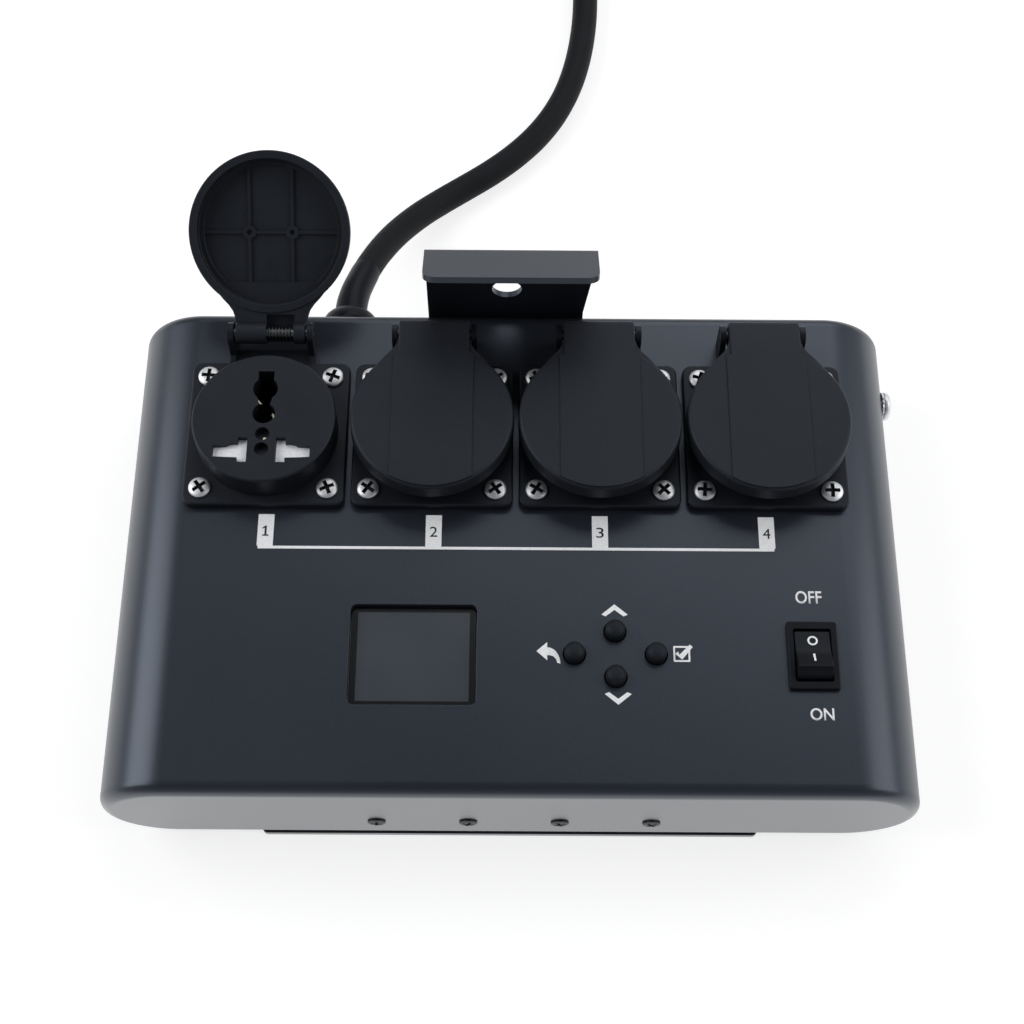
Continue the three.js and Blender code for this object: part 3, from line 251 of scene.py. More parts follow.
# %% Powder coat
FRONT_FACE, FACE_STEP = -78.5 * MM, 2.5 * MM
coat = Finish(
    "black powder coat", "black_coat", Specular_IOR_Level=0.7, Specular_Tint=(0.64, 0.78, 1, 1),
    Coat_Roughness=0.27,
)
grain, swell, patch = coat.noise(2600), coat.noise(800, 1.0), coat.noise(11, 3.0)
tone = coat.blend(patch.above(0.5, 0.5), (0.0085, 0.0098, 0.0135), (0.0125, 0.0142, 0.019))
tone = coat.blend(grain.above(0.55, 0.3) * 0.4, tone, (0.021, 0.0235, 0.03))
coat.paint(tone, 0.3 + 0.08 * patch + 0.05 * grain, height=grain * 0.5 + swell * 0.7, relief=0.024)
clear = 0.35 + 0.65 * coat.axis("Y").below(FRONT_FACE, FACE_STEP)
coat.feed(coat.shader.inputs["Coat Weight"], clear)

# %% [markdown]
# Moulded black plastic has a finer, flatter grain than the paint, and faint handling marks that
# change its gloss. The same recipe in other numbers gives the outlets, the lids and the switch.

# %% Moulded plastics


def moulded(name, slot, dark, light, gloss, relief, scale=3200, sheen=0.32):
    made = Finish(name, slot, Specular_IOR_Level=sheen, Specular_Tint=(0.8, 0.88, 1, 1))
    fine, marks = made.noise(scale), made.noise(60, 4.0, 0.65)
    colour = made.blend(marks.above(0.5, 0.4), dark, light)
    colour = made.blend(fine.above(0.6, 0.2) * 0.35, colour, tuple(1.7 * c for c in light))
    made.paint(colour, gloss + 0.14 * marks + 0.05 * fine, height=fine, relief=relief)
    return made


outlet_black, outlet_grey = (0.0062, 0.0072, 0.01), (0.0098, 0.0112, 0.0152)
lid_black, lid_grey = (0.0088, 0.0101, 0.0135), (0.0125, 0.0143, 0.0185)
switch_black, switch_grey = (0.0028, 0.0033, 0.0048), (0.0046, 0.0054, 0.0074)
shutter_dull, shutter_white = (0.84, 0.85, 0.88), (0.92, 0.93, 0.95)
key_black, key_grey = (0.0045, 0.0055, 0.0072), (0.007, 0.0084, 0.0108)
plug_black, plug_grey = (0.0065, 0.0074, 0.0094), (0.01, 0.0112, 0.014)
socket_plastic = moulded("outlet plastic", "black_plastic", outlet_black, outlet_grey, 0.36, 0.01)
lid_plastic = moulded("lid plastic", "black_plastic", lid_black, lid_grey, 0.42, 0.016, 2600)
switch_plastic = moulded("switch plastic", "black_plastic", switch_black, switch_grey, 0.3, 0.005, sheen=0.2)
shutter_plastic = moulded("white shutter plastic", "white_plastic", shutter_dull, shutter_white, 0.38, 0.006)
key_rubber = moulded("key rubber", "black_rubber", key_black, key_grey, 0.5, 0.012, 2400)
plug_rubber = moulded("plug rubber", "black_rubber", plug_black, plug_grey, 0.5, 0.02, 1800)

# %% [markdown]
# Plated steel is bright, with fine turning marks and a little uneven gloss. The same tree makes
# the other metals, by its colours. Screws carry an attribute that is 1 inside the driver's cross,
# and the tree darkens the metal there: painted shade for the recess, with a little grime.

# %% Metals


def plated(name, dark, light, gloss, slot=None):
    made = Finish(name, slot)
    fine, cloudy = made.noise(4200), made.noise(240, 3.0)
    # The recess attribute marks the driver's cross, where the metal is darkened as painted shade with a
    # little grime.
    recess = made.node("ShaderNodeAttribute", {"attribute_name": "recess"}, output="Fac")
    metal = made.blend(recess, made.blend(cloudy, dark, light), (0.006, 0.006, 0.008))
    rough = gloss + 0.14 * cloudy + 0.06 * fine + 0.3 * recess
    made.paint(metal, rough, 1 - recess, height=fine, relief=0.004)
    return made


steel = plated("plated steel", (0.74, 0.75, 0.77), (0.9, 0.91, 0.92), 0.38, "bright_steel")
# The hinge pins are this same bright steel painted dark grey: painted shade for the dim gaps that hide them
# in the closed lids.
pin_steel_in_painted_shade = plated("hinge pin steel", (0.16, 0.165, 0.175), (0.3, 0.305, 0.315), 0.34, "bright_steel")
blackened = plated("blackened steel", (0.05, 0.052, 0.056), (0.1, 0.102, 0.106), 0.3, "black_steel")
brass = plated("contact brass", (0.66, 0.6, 0.46), (0.84, 0.78, 0.64), 0.25, "bright_steel")
bar_metal = plated("milled aluminium", (0.42, 0.43, 0.44), (0.6, 0.61, 0.62), 0.32)
module_metal = plated("display frame steel", (0.2, 0.21, 0.22), (0.3, 0.31, 0.32), 0.35)

# %% [markdown]
# The cord's jacket is dull rubber. Extrusion leaves faint lines along it, so its pattern reads
# the tube's own map, whose first number runs round the cord and whose second runs along it.

# %% Cord rubber
cord_rubber = Finish("cord rubber", "black_rubber", Specular_IOR_Level=0.2)
jacket_map = {"Vector": cord_rubber.place("UV"), "Scale": (46, 6, 1)}
stretched = cord_rubber.node("ShaderNodeMapping", {}, jacket_map)
lines, pebble = cord_rubber.noise(1.0, 3.0, 0.6, at=stretched), cord_rubber.noise(2600)
dusty = cord_rubber.noise(38, 4.0, 0.65)
jacket = cord_rubber.blend(dusty.above(0.52, 0.35), (0.004, 0.0046, 0.0064), (0.008, 0.009, 0.012))
dull = 0.48 + 0.18 * dusty + 0.08 * pebble
cord_rubber.paint(jacket, dull, height=lines * 0.6 + pebble * 0.35, relief=0.05)

# %% [markdown]
# The printing is white screen ink. It is a little uneven and lets some of the paint's grain
# through. The digits in the white boxes are the paint's own black.

# %% Screen inks


def screen_ink(name, slot, thick, thin):
    made = Finish(name, slot, Specular_IOR_Level=0.3)
    uneven = made.noise(1600, 3.0, 0.6)
    made.paint(made.blend(uneven.above(0.44, 0.25), thin, thick), 0.5 + 0.15 * uneven, height=uneven)
    return made


white_ink = screen_ink("white screen ink", "white_plastic", (0.97, 0.975, 0.98), (0.86, 0.87, 0.89))
dark_ink = screen_ink("dark screen ink", "black_coat", (0.015, 0.016, 0.02), (0.03, 0.032, 0.037))

# %% [markdown]
# ## Making solid pieces
# Shapes are drawn in millimetres and turned into metres at the end. Most of them are a stack of
# closed outlines, one above another: a loft. Holes are cut with the exact boolean, then every
# sharp edge gets a small bevel, because a real edge always catches a line of light.

# %% Outlines, lofts, cuts and bevels


def arc(radius, start, end, steps, x=0.0, y=0.0):
    """Points along part of a circle, with both its ends."""
    angles = [start + (end - start) * k / steps for k in range(steps + 1)]
    return [(x + radius * cos(a), y + radius * sin(a)) for a in angles]


def round_outline(radius, sides=48, x=0.0, y=0.0, start=0.0):
    return arc(radius, start, start + tau, sides, x, y)[:-1]


def box_outline(width, height, corner, steps=6, x=0.0, y=0.0):
    points = []
    for quarter, (sx, sy) in enumerate(((1, 1), (-1, 1), (-1, -1), (1, -1))):
        middle = (x + sx * (width / 2 - corner), y + sy * (height / 2 - corner))
        points += arc(corner, quarter * pi / 2, (quarter + 1) * pi / 2, steps, *middle)
    return points


def shifted(points, x, y):
    return [(x + u, y + v) for u, v in points]


def heading(line, i):
    """The direction of a line of points at one of them."""
    return (line[min(i + 1, len(line) - 1)] - line[max(i - 1, 0)]).normalized()


def skin(rings, closed=False):
    """Four-sided faces between each ring of points and the next."""
    count, total = len(rings[0]), len(rings) * len(rings[0])
    faces = []
    for low in range(0, total if closed else total - count, count):
        for k in range(count):
            a, b = low + k, low + (k + 1) % count
            faces.append((a, b, (b + count) % total, (a + count) % total))
    return faces


def surface(name, rings, faces):
    mesh = bpy.data.meshes.new(name)
    mesh.from_pydata([point for ring in rings for point in ring], [], faces)
    return linked(name, mesh)


def reshape(mesh, *steps):
    """Runs editing steps on a mesh, each a function of its editable shape."""
    shape = bmesh.new()
    shape.from_mesh(mesh)
    for step in steps:
        step(shape)
    shape.to_mesh(mesh)
    shape.free()


def weld(shape, reach=1e-5):
    bmesh.ops.remove_doubles(shape, verts=shape.verts, dist=reach)


def flatten(shape):
    """Drops the edges inside a flat face, so that a bevel meets only real edges."""
    weld(shape, 1e-4)
    bmesh.ops.dissolve_limit(shape, angle_limit=radians(0.5), verts=shape.verts, edges=shape.edges)


def face_out(shape):
    bmesh.ops.recalc_face_normals(shape, faces=shape.faces)


def loft(rings):
    """A closed solid through rings of three-dimensional points."""
    count, total = len(rings[0]), len(rings) * len(rings[0])
    ends = [tuple(range(count)), tuple(range(total - count, total))]
    solid = surface("loft", rings, ends + skin(rings))
    reshape(solid.data, weld, face_out)
    return solid


def prism(outline, low, high, axis="Z"):
    """An outline drawn flat, pushed out along an axis."""
    lay = {
        "Z": lambda u, v, w: (u, v, w),
        "Y": lambda u, v, w: (u, w, v),
        "X": lambda u, v, w: (w, u, v),
    }[axis]
    return loft([[lay(u, v, w) for u, v in outline] for w in (low, high)])


def turned(profile, sides=64, x=0.0, y=0.0):
    """A profile of (radius, height) turned about an upright axis, with flat ends."""
    return loft([
        [(u, v, height) for u, v in round_outline(radius, sides, x, y)] for radius, height in profile
    ])


def modified(solid, kind, **settings):
    step = solid.modifiers.new(kind, kind)
    for key, value in settings.items():
        setattr(step, key, value)
    return step


def keep_result(solid):
    """The evaluated shape becomes the object's own mesh, with no modifiers left."""
    graph = bpy.context.evaluated_depsgraph_get()
    mesh = bpy.data.meshes.new_from_object(
        solid.evaluated_get(graph), preserve_all_data_layers=True, depsgraph=graph
    )
    solid.modifiers.clear()
    old = solid.data
    solid.data = mesh
    bpy.data.meshes.remove(old)
    return solid


def drop(solid):
    mesh = solid.data
    bpy.data.objects.remove(solid)
    bpy.data.meshes.remove(mesh)


def boolean(solid, tools, operation):
    for tool in tools:
        modified(solid, "BOOLEAN", operation=operation, solver="EXACT", object=tool)
    keep_result(solid)
    for tool in tools:
        drop(tool)
    return solid


def cut(solid, *tools):
    return boolean(solid, tools, "DIFFERENCE")


def join(solid, *others):
    return boolean(solid, others, "UNION")


def merged(*solids):
    """Solids that don't touch, in one mesh."""
    shape = bmesh.new()
    for solid in solids:
        shape.from_mesh(solid.data)
    mesh = bpy.data.meshes.new("merged")
    shape.to_mesh(mesh)
    shape.free()
    for solid in solids:
        drop(solid)
    return linked("merged", mesh)


def bevel(solid, width, segments=2, angle=38):
    reshape(solid.data, flatten)
    modified(
        solid, "BEVEL", width=width, segments=segments, limit_method="ANGLE", angle_limit=radians(angle),
        miter_outer="MITER_ARC",
    )
    return keep_result(solid)


def smooth(solid, angle=40):
    for face in solid.data.polygons:
        face.use_smooth = True
    solid.data.set_sharp_from_angle(angle=radians(angle))
    modified(solid, "WEIGHTED_NORMAL", keep_sharp=True)
    return keep_result(solid)


def eased(solid, width, segments=2, angle=38, shade=40):
    """Small bevels on the sharp edges, then smooth shading."""
    return smooth(bevel(solid, width, segments, angle), shade)


def moved(solid, shift=(0, 0, 0), turn=None):
    solid.data.transform(Matrix.Translation(shift) @ (turn or Matrix.Identity(4)))
    return solid


def copied(solid, shift=(0, 0, 0), turn=None):
    return moved(linked("copy", solid.data.copy()), shift, turn)


def settle(solid, name, finish, nodes=(), body="case"):
    """Names a finished piece, gives it its finish and its body, and hides the solids it stands for."""
    solid.name = name
    solid.data.name = name
    solid.data.transform(Matrix.Scale(MM, 4))
    solid.data.materials.clear()
    solid.data.materials.append(finish.material)
    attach(solid, body)
    if nodes:
        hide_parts(*nodes)
    return solid


# %% [markdown]
# ## Mains cord
# The cord is one length of rubber flex. It leaves the gland, falls to the floor and turns away
# behind the pack, as the photograph shows. The rest is put away just outside the view: two
# layers of two turns that spiral in, climb and spiral out again, then a short end to the plug.

# %% The cord's route, one smooth line
CORD, TAIL_BEND, PLUG_HEIGHT = 9.5, 38, 13
route = [
    (-54.8, 92.6, 23), (-54.6, 96.6, 22.9), (-53.9, 101, 22.4), (-52.7, 105.6, 21.5), (-50, 114.3, 19),
    (-46.8, 122.5, 16), (-42.9, 130.5, 12.9), (-38.2, 138, 10), (-32.3, 145.3, 7.5), (-25.4, 152, 5.6),
    (-17.4, 158.3, 4.8), (-8.7, 164.7, 4.75), (0, 172.2, 4.75), (8.3, 181.3, 4.75), (15.4, 192.2, 4.75),
    (20.9, 205, 4.75), (24.7, 219.8, 4.75), (26.9, 236.5, 4.75), (27.5, 255, 4.75), (27.5, 277, 4.75),
    (27.5, 299, 4.75), (27.5, 320.2, 4.75),
]
COIL_CENTRE, COIL_MIDDLE, COIL_PITCH, COIL_TURNS, TURN_STEPS, BEND_STEPS = (-32.5, 330), 50, 10, 2, 72, 16


def through_points(points, steps):
    """A smooth curve through the points, with tangents from each point's neighbours."""
    points = [Vector(p) for p in points]
    line = []
    for i in range(len(points) - 1):
        before = points[max(i - 1, 0)]
        start, end = points[i], points[i + 1]
        after = points[min(i + 2, len(points) - 1)]
        for k in range(steps):
            t = k / steps
            line.append(0.5 * (
                2 * start + (end - before) * t + (2 * before - 5 * start + 4 * end - after) * t * t
                + (3 * start - before - 3 * end + after) * t ** 3
            ))
    return line + [points[-1]]


def coil_point(turns):
    """A place on the coil, counted in turns from its middle, where it climbs to its upper layer."""
    radius = COIL_MIDDLE - COIL_PITCH * COIL_TURNS / 2 + COIL_PITCH * abs(turns)
    angle = tau * (turns + COIL_TURNS)
    climb = min(max(2 * turns + 0.5, 0), 1)
    climb = climb * climb * (3 - 2 * climb)
    flat = Vector((*COIL_CENTRE, 0)) + radius * Vector((cos(angle), sin(angle), 0))
    return flat + Vector((0, 0, CORD / 2 + COIL_PITCH * climb))


coil_start, coil_end = coil_point(-COIL_TURNS), coil_point(COIL_TURNS)
cord_line = through_points(route, 6)
cord_line += [coil_start - Vector((0, CORD * share, 0)) for share in (0.66, 0.33)]
for step in range(2 * COIL_TURNS * TURN_STEPS + 1):
    cord_line.append(coil_point(step / TURN_STEPS - COIL_TURNS))
cord_line += [coil_end + Vector((0, CORD * share, 0)) for share in (0.5, 1, 1.5, 2)]
for step in range(1, BEND_STEPS + 1):
    angle = pi / 2 * step / BEND_STEPS
    rise = (PLUG_HEIGHT - coil_end.z) * (0.5 - 0.5 * cos(2 * angle))
    bend = Vector((TAIL_BEND * (1 - cos(angle)), 2 * CORD + TAIL_BEND * sin(angle), rise))
    cord_line.append(coil_end + bend)
cord_line.append(cord_line[-1] + Vector((4, 0, 0)))
cord_length = sum((b - a).length for a, b in zip(cord_line, cord_line[1:]))
print("cord length, mm:", round(cord_length, 1), "points:", len(cord_line))

# %% The jacket, swept along the route


def sweep(line, radius, sides=20, mapped=False):
    """A round tube along a line. Its map, if it has one, runs round it and along it in metres."""
    rings, reach, tops = [], 0.0, []
    side = Vector((1, 0, 0))
    for i, point in enumerate(line):
        ahead = heading(line, i)
        side = (side - ahead * side.dot(ahead)).normalized()
        above = ahead.cross(side)
        size = radius(i / (len(line) - 1)) if callable(radius) else radius
        rings.append([point + size * (u * side + v * above) for u, v in round_outline(1, sides)])
        reach += (point - line[max(i - 1, 0)]).length
        tops.append(reach * MM)
    last = len(rings) * sides
    caps = [tuple(reversed(range(sides))), tuple(range(last - sides, last))]
    tube = surface("tube", rings, skin(rings) + caps)
    mesh = tube.data
    layer = mesh.uv_layers.new(name="jacket") if mapped else None
    for face in mesh.polygons:
        face.use_smooth = len(face.vertices) == 4
        for corner in face.loop_indices if mapped else ():
            ring, k = divmod(mesh.loops[corner].vertex_index, sides)
            past_seam = face.use_smooth and k == 0 and max(v % sides for v in face.vertices) == sides - 1
            layer.data[corner].uv = (1.0 if past_seam else k / sides, tops[ring])
    return tube


cord = settle(
    sweep(cord_line, CORD / 2, mapped=True), "mains_flex", cord_rubber,
    ("mains_cord", "cord_coil", "cord_tail"),
)

# %% [markdown]
# A strap of hook-and-loop tape holds the coil. It is a thin flat band bent round the bundle, with
# its free end lying over itself. It is lofted from small rectangles that follow a rounded square.

# %% The coil's strap
STRAP_HALF, STRAP_THICK, BUNDLE_MIDDLE = 8, 0.7, 10.85
strap_finish = Finish("strap weave", "black_rubber", Specular_IOR_Level=0.2)
weave = strap_finish.noise(3000, 1.0)
thread_terms = {"Scale": 700, "Distortion": 1.5}
threads = strap_finish.node("ShaderNodeTexWave", {"bands_direction": "Y"}, thread_terms, output="Fac")
strap_tone = strap_finish.blend(weave, (0.01, 0.01, 0.012), (0.03, 0.031, 0.034))
strap_finish.paint(strap_tone, 0.75 + 0.15 * weave, height=threads * 0.6 + weave * 0.6, relief=0.12)

bundle = Vector((COIL_CENTRE[0] - COIL_MIDDLE, COIL_CENTRE[1] + 2, BUNDLE_MIDDLE))
half = Vector((0, STRAP_HALF, 0))
loop = [Vector((u, 0, v)) for u, v in box_outline(21.2, 20.4, 4.9, 8)]
strap_rings = []
for here, after in zip(loop, loop[1:] + loop[:1]):
    way = after - here
    outward = Vector((way.z, 0, -way.x)).normalized() * STRAP_THICK / 2
    sides = ((-half, -outward), (half, -outward), (half, outward), (-half, outward))
    strap_rings.append([bundle + here + across + lift for across, lift in sides])
strap = surface("strap", strap_rings, skin(strap_rings, closed=True))
reshape(strap.data, face_out)
strap_end = moved(prism(box_outline(20, 14, 3), 0, STRAP_THICK), (bundle.x, bundle.y, 21.4))
strap = settle(eased(merged(strap, strap_end), 0.12, 1), "coil_strap", strap_finish)
print("strap faces:", len(strap.data.polygons))

# %% [markdown]
# ## Mains plug
# The plug is moulded on the cord: a ribbed neck that swells into a rounded block, with three flat
# pins. Its sections change from a circle to a rounded rectangle, so it is a loft along the cord.

# %% Plug body and pins
PLUG_START, PLUG_FACE, BLADE, BLADE_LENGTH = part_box("mains_plug")[0][0] / MM, 45.8, (1.6, 6.3), 16.6
plug_y = sum(corner[1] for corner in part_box("mains_plug")) / 2 / MM


def plug_section(along, width, height, corner):
    outline = box_outline(width, height, corner, 7)
    return [(PLUG_START + along, plug_y + u, PLUG_HEIGHT + v) for u, v in outline]


sections = [(0, 12.6, 12.6, 6.28)]
for groove in range(4):
    start, size = 1.2 + groove * 2.9, 12.8 + 0.6 * groove
    sections += [
        (start, size, size, size / 2 - 0.02), (start + 1.5, size, size, size / 2 - 0.02),
        (start + 1.7, size - 1.6, size - 1.6, size / 2 - 0.83),
        (start + 2.6, size - 1.4, size - 1.4, size / 2 - 0.73),
    ]
sections += [
    (13.4, 16.5, 16, 7.9), (15.5, 22, 19.5, 8.6), (18.5, 28.5, 23, 8.4), (22, 32, 25, 7.4),
    (27, 33.7, 25.8, 6.4), (34, 34, 26, 5.6), (44, 34, 26, 5.2), (45.3, 33.4, 25.4, 5),
    (46, 31.8, 23.8, 4.4),
]
plug_body = smooth(loft([plug_section(*section) for section in sections]), 50)
plug_body = settle(plug_body, "plug_body", plug_rubber, ("mains_plug",))
blades = []
for across, aside, lean in ((0, -8, 0), (5.66, 5.66, 30), (-5.66, 5.66, -30)):
    turn = Matrix.Rotation(pi / 2, 4, "Y") @ Matrix.Rotation(radians(lean), 4, "Z")
    at = (PLUG_START + PLUG_FACE, plug_y + aside, PLUG_HEIGHT - across)
    blades.append(moved(prism(box_outline(*BLADE, 0.5, 3), 0, BLADE_LENGTH), at, turn))
plug_pins = settle(eased(merged(*blades), 0.3, 2), "plug_pins", brass)
[tuple(p * MM) for p in cord_line]

# %% [markdown]
# ## Case
# The case is a drawn tube of racetrack section, two flats joined by half-rounds, closed by two
# plates with rounded edges. The tube is cut for the outlets, the display, the keys and the switch.

# %% Tube
BODY_FLAT, BODY_ROUND, BODY_WALL = 100.5, 21.0, 2.5
MIDDLE_Z, PANEL_Z, TUBE_END, PLATE = 23.0, 44.0, 76.5, 4.0
SIDE_FACE, REAR_FACE, EARTH_Y, SCREW_REACH = BODY_FLAT + BODY_ROUND, TUBE_END + PLATE, 58.5, 19.6
OUTLET_Y, OUTLET_X = 34.8, [-76.5, -24.7, 27.1, 78.9]
KEYS = {"up": (30.9, -30.15), "down": (30.9, -44.45), "back": (18.75, -37.3), "confirm": (43.05, -37.3)}
DISPLAY, SWITCH = (-29.2, -37.6), (89.4, -37.7)
THROUGH = (40, 46)


def racetrack(radius, steps=40):
    right_end = arc(radius, -pi / 2, pi / 2, steps, BODY_FLAT, MIDDLE_Z)
    return right_end + arc(radius, pi / 2, 3 * pi / 2, steps, -BODY_FLAT, MIDDLE_Z)


tube = prism(racetrack(BODY_ROUND), -TUBE_END, TUBE_END, "Y")
tube = cut(tube, prism(racetrack(BODY_ROUND - BODY_WALL), -TUBE_END - 2, TUBE_END + 2, "Y"))
openings = [prism(box_outline(38, 31.6, 2, 6, *DISPLAY), *THROUGH)]
openings.append(prism(box_outline(13.2, 20.2, 0.4, 2, *SWITCH), *THROUGH))
openings += [prism(round_outline(3.45, 40, *spot), *THROUGH) for spot in KEYS.values()]
openings += [prism(round_outline(21.4, 72, x, OUTLET_Y), *THROUGH) for x in OUTLET_X]
openings.append(prism(round_outline(2.7, 24, EARTH_Y, MIDDLE_Z), 115, 130, "X"))
tube = eased(cut(tube, merged(*openings)), 0.35, 2, 50)
tube = settle(tube, "case_tube", coat, ("body_shell",))
print("tube faces:", len(tube.data.polygons))

# %% [markdown]
# Each end plate is the same racetrack, drawn in step by step along a quarter circle, which gives
# the soft rounded edge that runs all round the front face. Its skirt laps the tube by a hair,
# because paint fills the real joint and no seam shows.

# %% End plates


def end_plate(direction, edge=3.7, steps=8):
    levels = [(-0.6, -0.015), (0.1, -0.015)]
    levels += [(PLATE - edge + v, edge - u) for u, v in arc(edge, 0, pi / 2, steps)]
    return loft([
        [(x, direction * (TUBE_END + level), z) for x, z in racetrack(BODY_ROUND - inset)]
        for level, inset in levels
    ])


FRONT_SCREWS, FRONT_SCREW_Z = [1.2 + (k - 1.5) * 27.5 for k in range(4)], 15.6
front_holes = [prism(round_outline(1.75, 24, x, FRONT_SCREW_Z), -82, -75, "Y") for x in FRONT_SCREWS]
front = cut(end_plate(-1), merged(*front_holes))
settle(smooth(front, 50), "front_cap", coat, ("front_plate",))
DATA_X, GLAND = (48.0, 81.0), (-54.8, 23.0)
back_holes = [prism(round_outline(12.1, 48, x, MIDDLE_Z), 75, 82, "Y") for x in DATA_X]
back_holes.append(prism(round_outline(8.1, 40, *GLAND), 75, 82, "Y"))
back = cut(end_plate(1), merged(*back_holes))
back = settle(smooth(back, 50), "rear_cap", coat, ("rear_plate",))
print("rear plate faces:", len(back.data.polygons))

# %% [markdown]
# ## Bracket
# One sheet of 2 mm steel runs under the case, turns up behind it and ends in a lip that leans
# forward over the lids. The upright is a strip that follows a bent line, lofted from thin
# rectangles, whose width narrows round the corners of the free edge. Its right edge leans in on
# the way down, so that edge is cut afterwards, together with the round hole for a clamp's bolt.

# %% Bent sheet
SHEET, STRIP, STRIP_X, LIP, LIP_CORNER, TILT = 2.0, 53.6, -0.7, 19.0, 4.0, radians(30)
UPRIGHT_Y, BEND_Z, INNER_BEND, LIP_STEPS, NARROWED = 82.2, 77.0, 2.2, 8, 3.3


def bent_line(corners, radius, steps=10):
    """Points along a line with rounded corners, in the plane of y and z."""
    corners = [Vector(corner) for corner in corners]
    line = [corners[0]]
    for before, here, after in zip(corners, corners[1:], corners[2:]):
        back_way, on_way = (before - here).normalized(), (after - here).normalized()
        half = back_way.angle(on_way) / 2
        centre = here + (back_way + on_way).normalized() * radius / sin(half)
        start = here + back_way * radius / tan(half) - centre
        end = here + on_way * radius / tan(half) - centre
        turn = start.angle(end) if start.x * end.y > start.y * end.x else -start.angle(end)
        for k in range(steps + 1):
            u, v = cos(turn * k / steps), sin(turn * k / steps)
            line.append(centre + Vector((start.x * u - start.y * v, start.x * v + start.y * u)))
    return line + [corners[-1]]


lip_end = (UPRIGHT_Y - LIP * cos(TILT), BEND_Z + LIP * sin(TILT))
sheet_line = bent_line([(70, 1), (UPRIGHT_Y, 1), (UPRIGHT_Y, BEND_Z), lip_end], INNER_BEND)
last_point = sheet_line.pop()
lip_way, straight = (last_point - sheet_line[-1]).normalized(), len(sheet_line)
for k in range(LIP_STEPS + 1):
    sheet_line.append(last_point - lip_way * LIP_CORNER * (1 - sin(pi / 2 * k / LIP_STEPS)))
strip_rings = []
for i, point in enumerate(sheet_line):
    way = heading(sheet_line, i)
    off = Vector((-way.y, way.x)) * SHEET / 2
    half, left = STRIP / 2, (last_point - point).length
    if i >= straight and left < LIP_CORNER:
        half -= LIP_CORNER - sqrt(max(LIP_CORNER ** 2 - (LIP_CORNER - left) ** 2, 0))
    above, under, ends = point + off, point - off, (STRIP_X - half, STRIP_X + half)
    strip_rings.append([(x, *above) for x in ends] + [(x, *under) for x in reversed(ends)])
edge_x, lean_end = STRIP_X + STRIP / 2, BEND_Z - 3.2
strip = cut(loft(strip_rings), prism([
    (edge_x, lean_end), (edge_x - NARROWED, PANEL_Z), (edge_x - NARROWED, SHEET), (edge_x + 4, SHEET),
    (edge_x + 4, lean_end),
], 79, 86, "Y"))
bracket = join(prism(box_outline(152, 161, 1.5, 6), 0, SHEET), strip)
BASE_SCREWS = [(sx * 62, sy * 66) for sx in (-1, 1) for sy in (-1, 1)]
sinks = [prism(round_outline(3.4, 32, *spot), -1, 0.7) for spot in BASE_SCREWS]
hang_hole = prism(round_outline(4.7, 48, -2, PANEL_Z + 13.6), 78, 86, "Y")
bracket = eased(cut(bracket, merged(hang_hole, *sinks)), 0.3, 2, 50)
bracket = settle(bracket, "bracket_sheet", coat, ("hanging_bracket",))
print("bracket faces:", len(bracket.data.polygons))

# %% [markdown]
# ## Screws
# The same pan-head screw fixes all four outlets. It is modelled once, and a Geometry Nodes tree
# puts a copy on each point, turned by its own random angle, as real screws stop where they stop.

# %% One screw and a tree that places copies


def pan_screw(radius, height, cross, depth):
    profile = [(radius * 0.94, 0), (radius, height * 0.12), (radius, height * 0.38)]
    profile += [(radius * (0.3 + 0.7 * u), height * (0.38 + 0.62 * v)) for u, v in arc(1, 0, pi / 2, 8)[1:-1]]
    profile.append((radius * 0.24, height))
    arms, broad = [], 0.25 * cross
    for length, width in ((cross, broad), (broad, cross)):
        outline = box_outline(length, width, 0.22, 3)
        levels = ((1, height + 1), (1, height - 0.1), (0.72, height - depth))
        arms.append(loft([[(u * share, v * share, level) for u, v in outline] for share, level in levels]))
    screw = eased(cut(turned(profile, 40), *arms), 0.05, 1, 50, 50)
    # Faces inside the cross get 1, where the finish paints the recess's shade and a little grime.
    recess = screw.data.attributes.new("recess", "FLOAT", "FACE")
    for face in screw.data.polygons:
        near, far = sorted((abs(face.center.x), abs(face.center.y)))
        in_cross = near < broad / 2 and far < cross / 2 and face.center.z > height * 0.05
        recess.data[face.index].value = 1.0 if in_cross else 0.0
    return screw


def copy_tree():
    """A tree that puts a copy on each point, tilts it, turns it at random and gives it its finish."""
    tree = bpy.data.node_groups.new("place copies", "GeometryNodeTree")
    inputs = {"Points": "Geometry", "Copy": "Object", "Spin": "Float", "Tilt": "Vector", "Finish": "Material"}
    for name, kind in inputs.items():
        tree.interface.new_socket(name=name, in_out="INPUT", socket_type=f"NodeSocket{kind}")
    tree.interface.new_socket(name="Copies", in_out="OUTPUT", socket_type="NodeSocketGeometry")
    given, info, angle, compose, turn, place, realize, paint, result = (tree.nodes.new(kind) for kind in (
        "NodeGroupInput", "GeometryNodeObjectInfo", "FunctionNodeRandomValue", "ShaderNodeCombineXYZ",
        "FunctionNodeRotateEuler", "GeometryNodeInstanceOnPoints", "GeometryNodeRealizeInstances",
        "GeometryNodeSetMaterial", "NodeGroupOutput",
    ))
    angle.data_type, turn.rotation_type, turn.space = "FLOAT", "EULER", "LOCAL"
    angle.inputs["Seed"].default_value = 7
    for source, output, target, socket in (
        (given, "Copy", info, "Object"), (given, "Spin", angle, "Max"), (angle, "Value", compose, "Z"),
        (given, "Tilt", turn, "Rotation"), (compose, 0, turn, "Rotate By"),
        (given, "Points", place, "Points"), (info, "Geometry", place, "Instance"),
        (turn, 0, place, "Rotation"), (place, 0, realize, 0),
        (realize, 0, paint, "Geometry"), (given, "Finish", paint, "Material"), (paint, 0, result, 0),
    ):
        tree.links.new(source.outputs[output], target.inputs[socket])
    return tree


copies = copy_tree()
copy_inputs = {item.name: item.identifier for item in copies.interface.items_tree if item.in_out == "INPUT"}


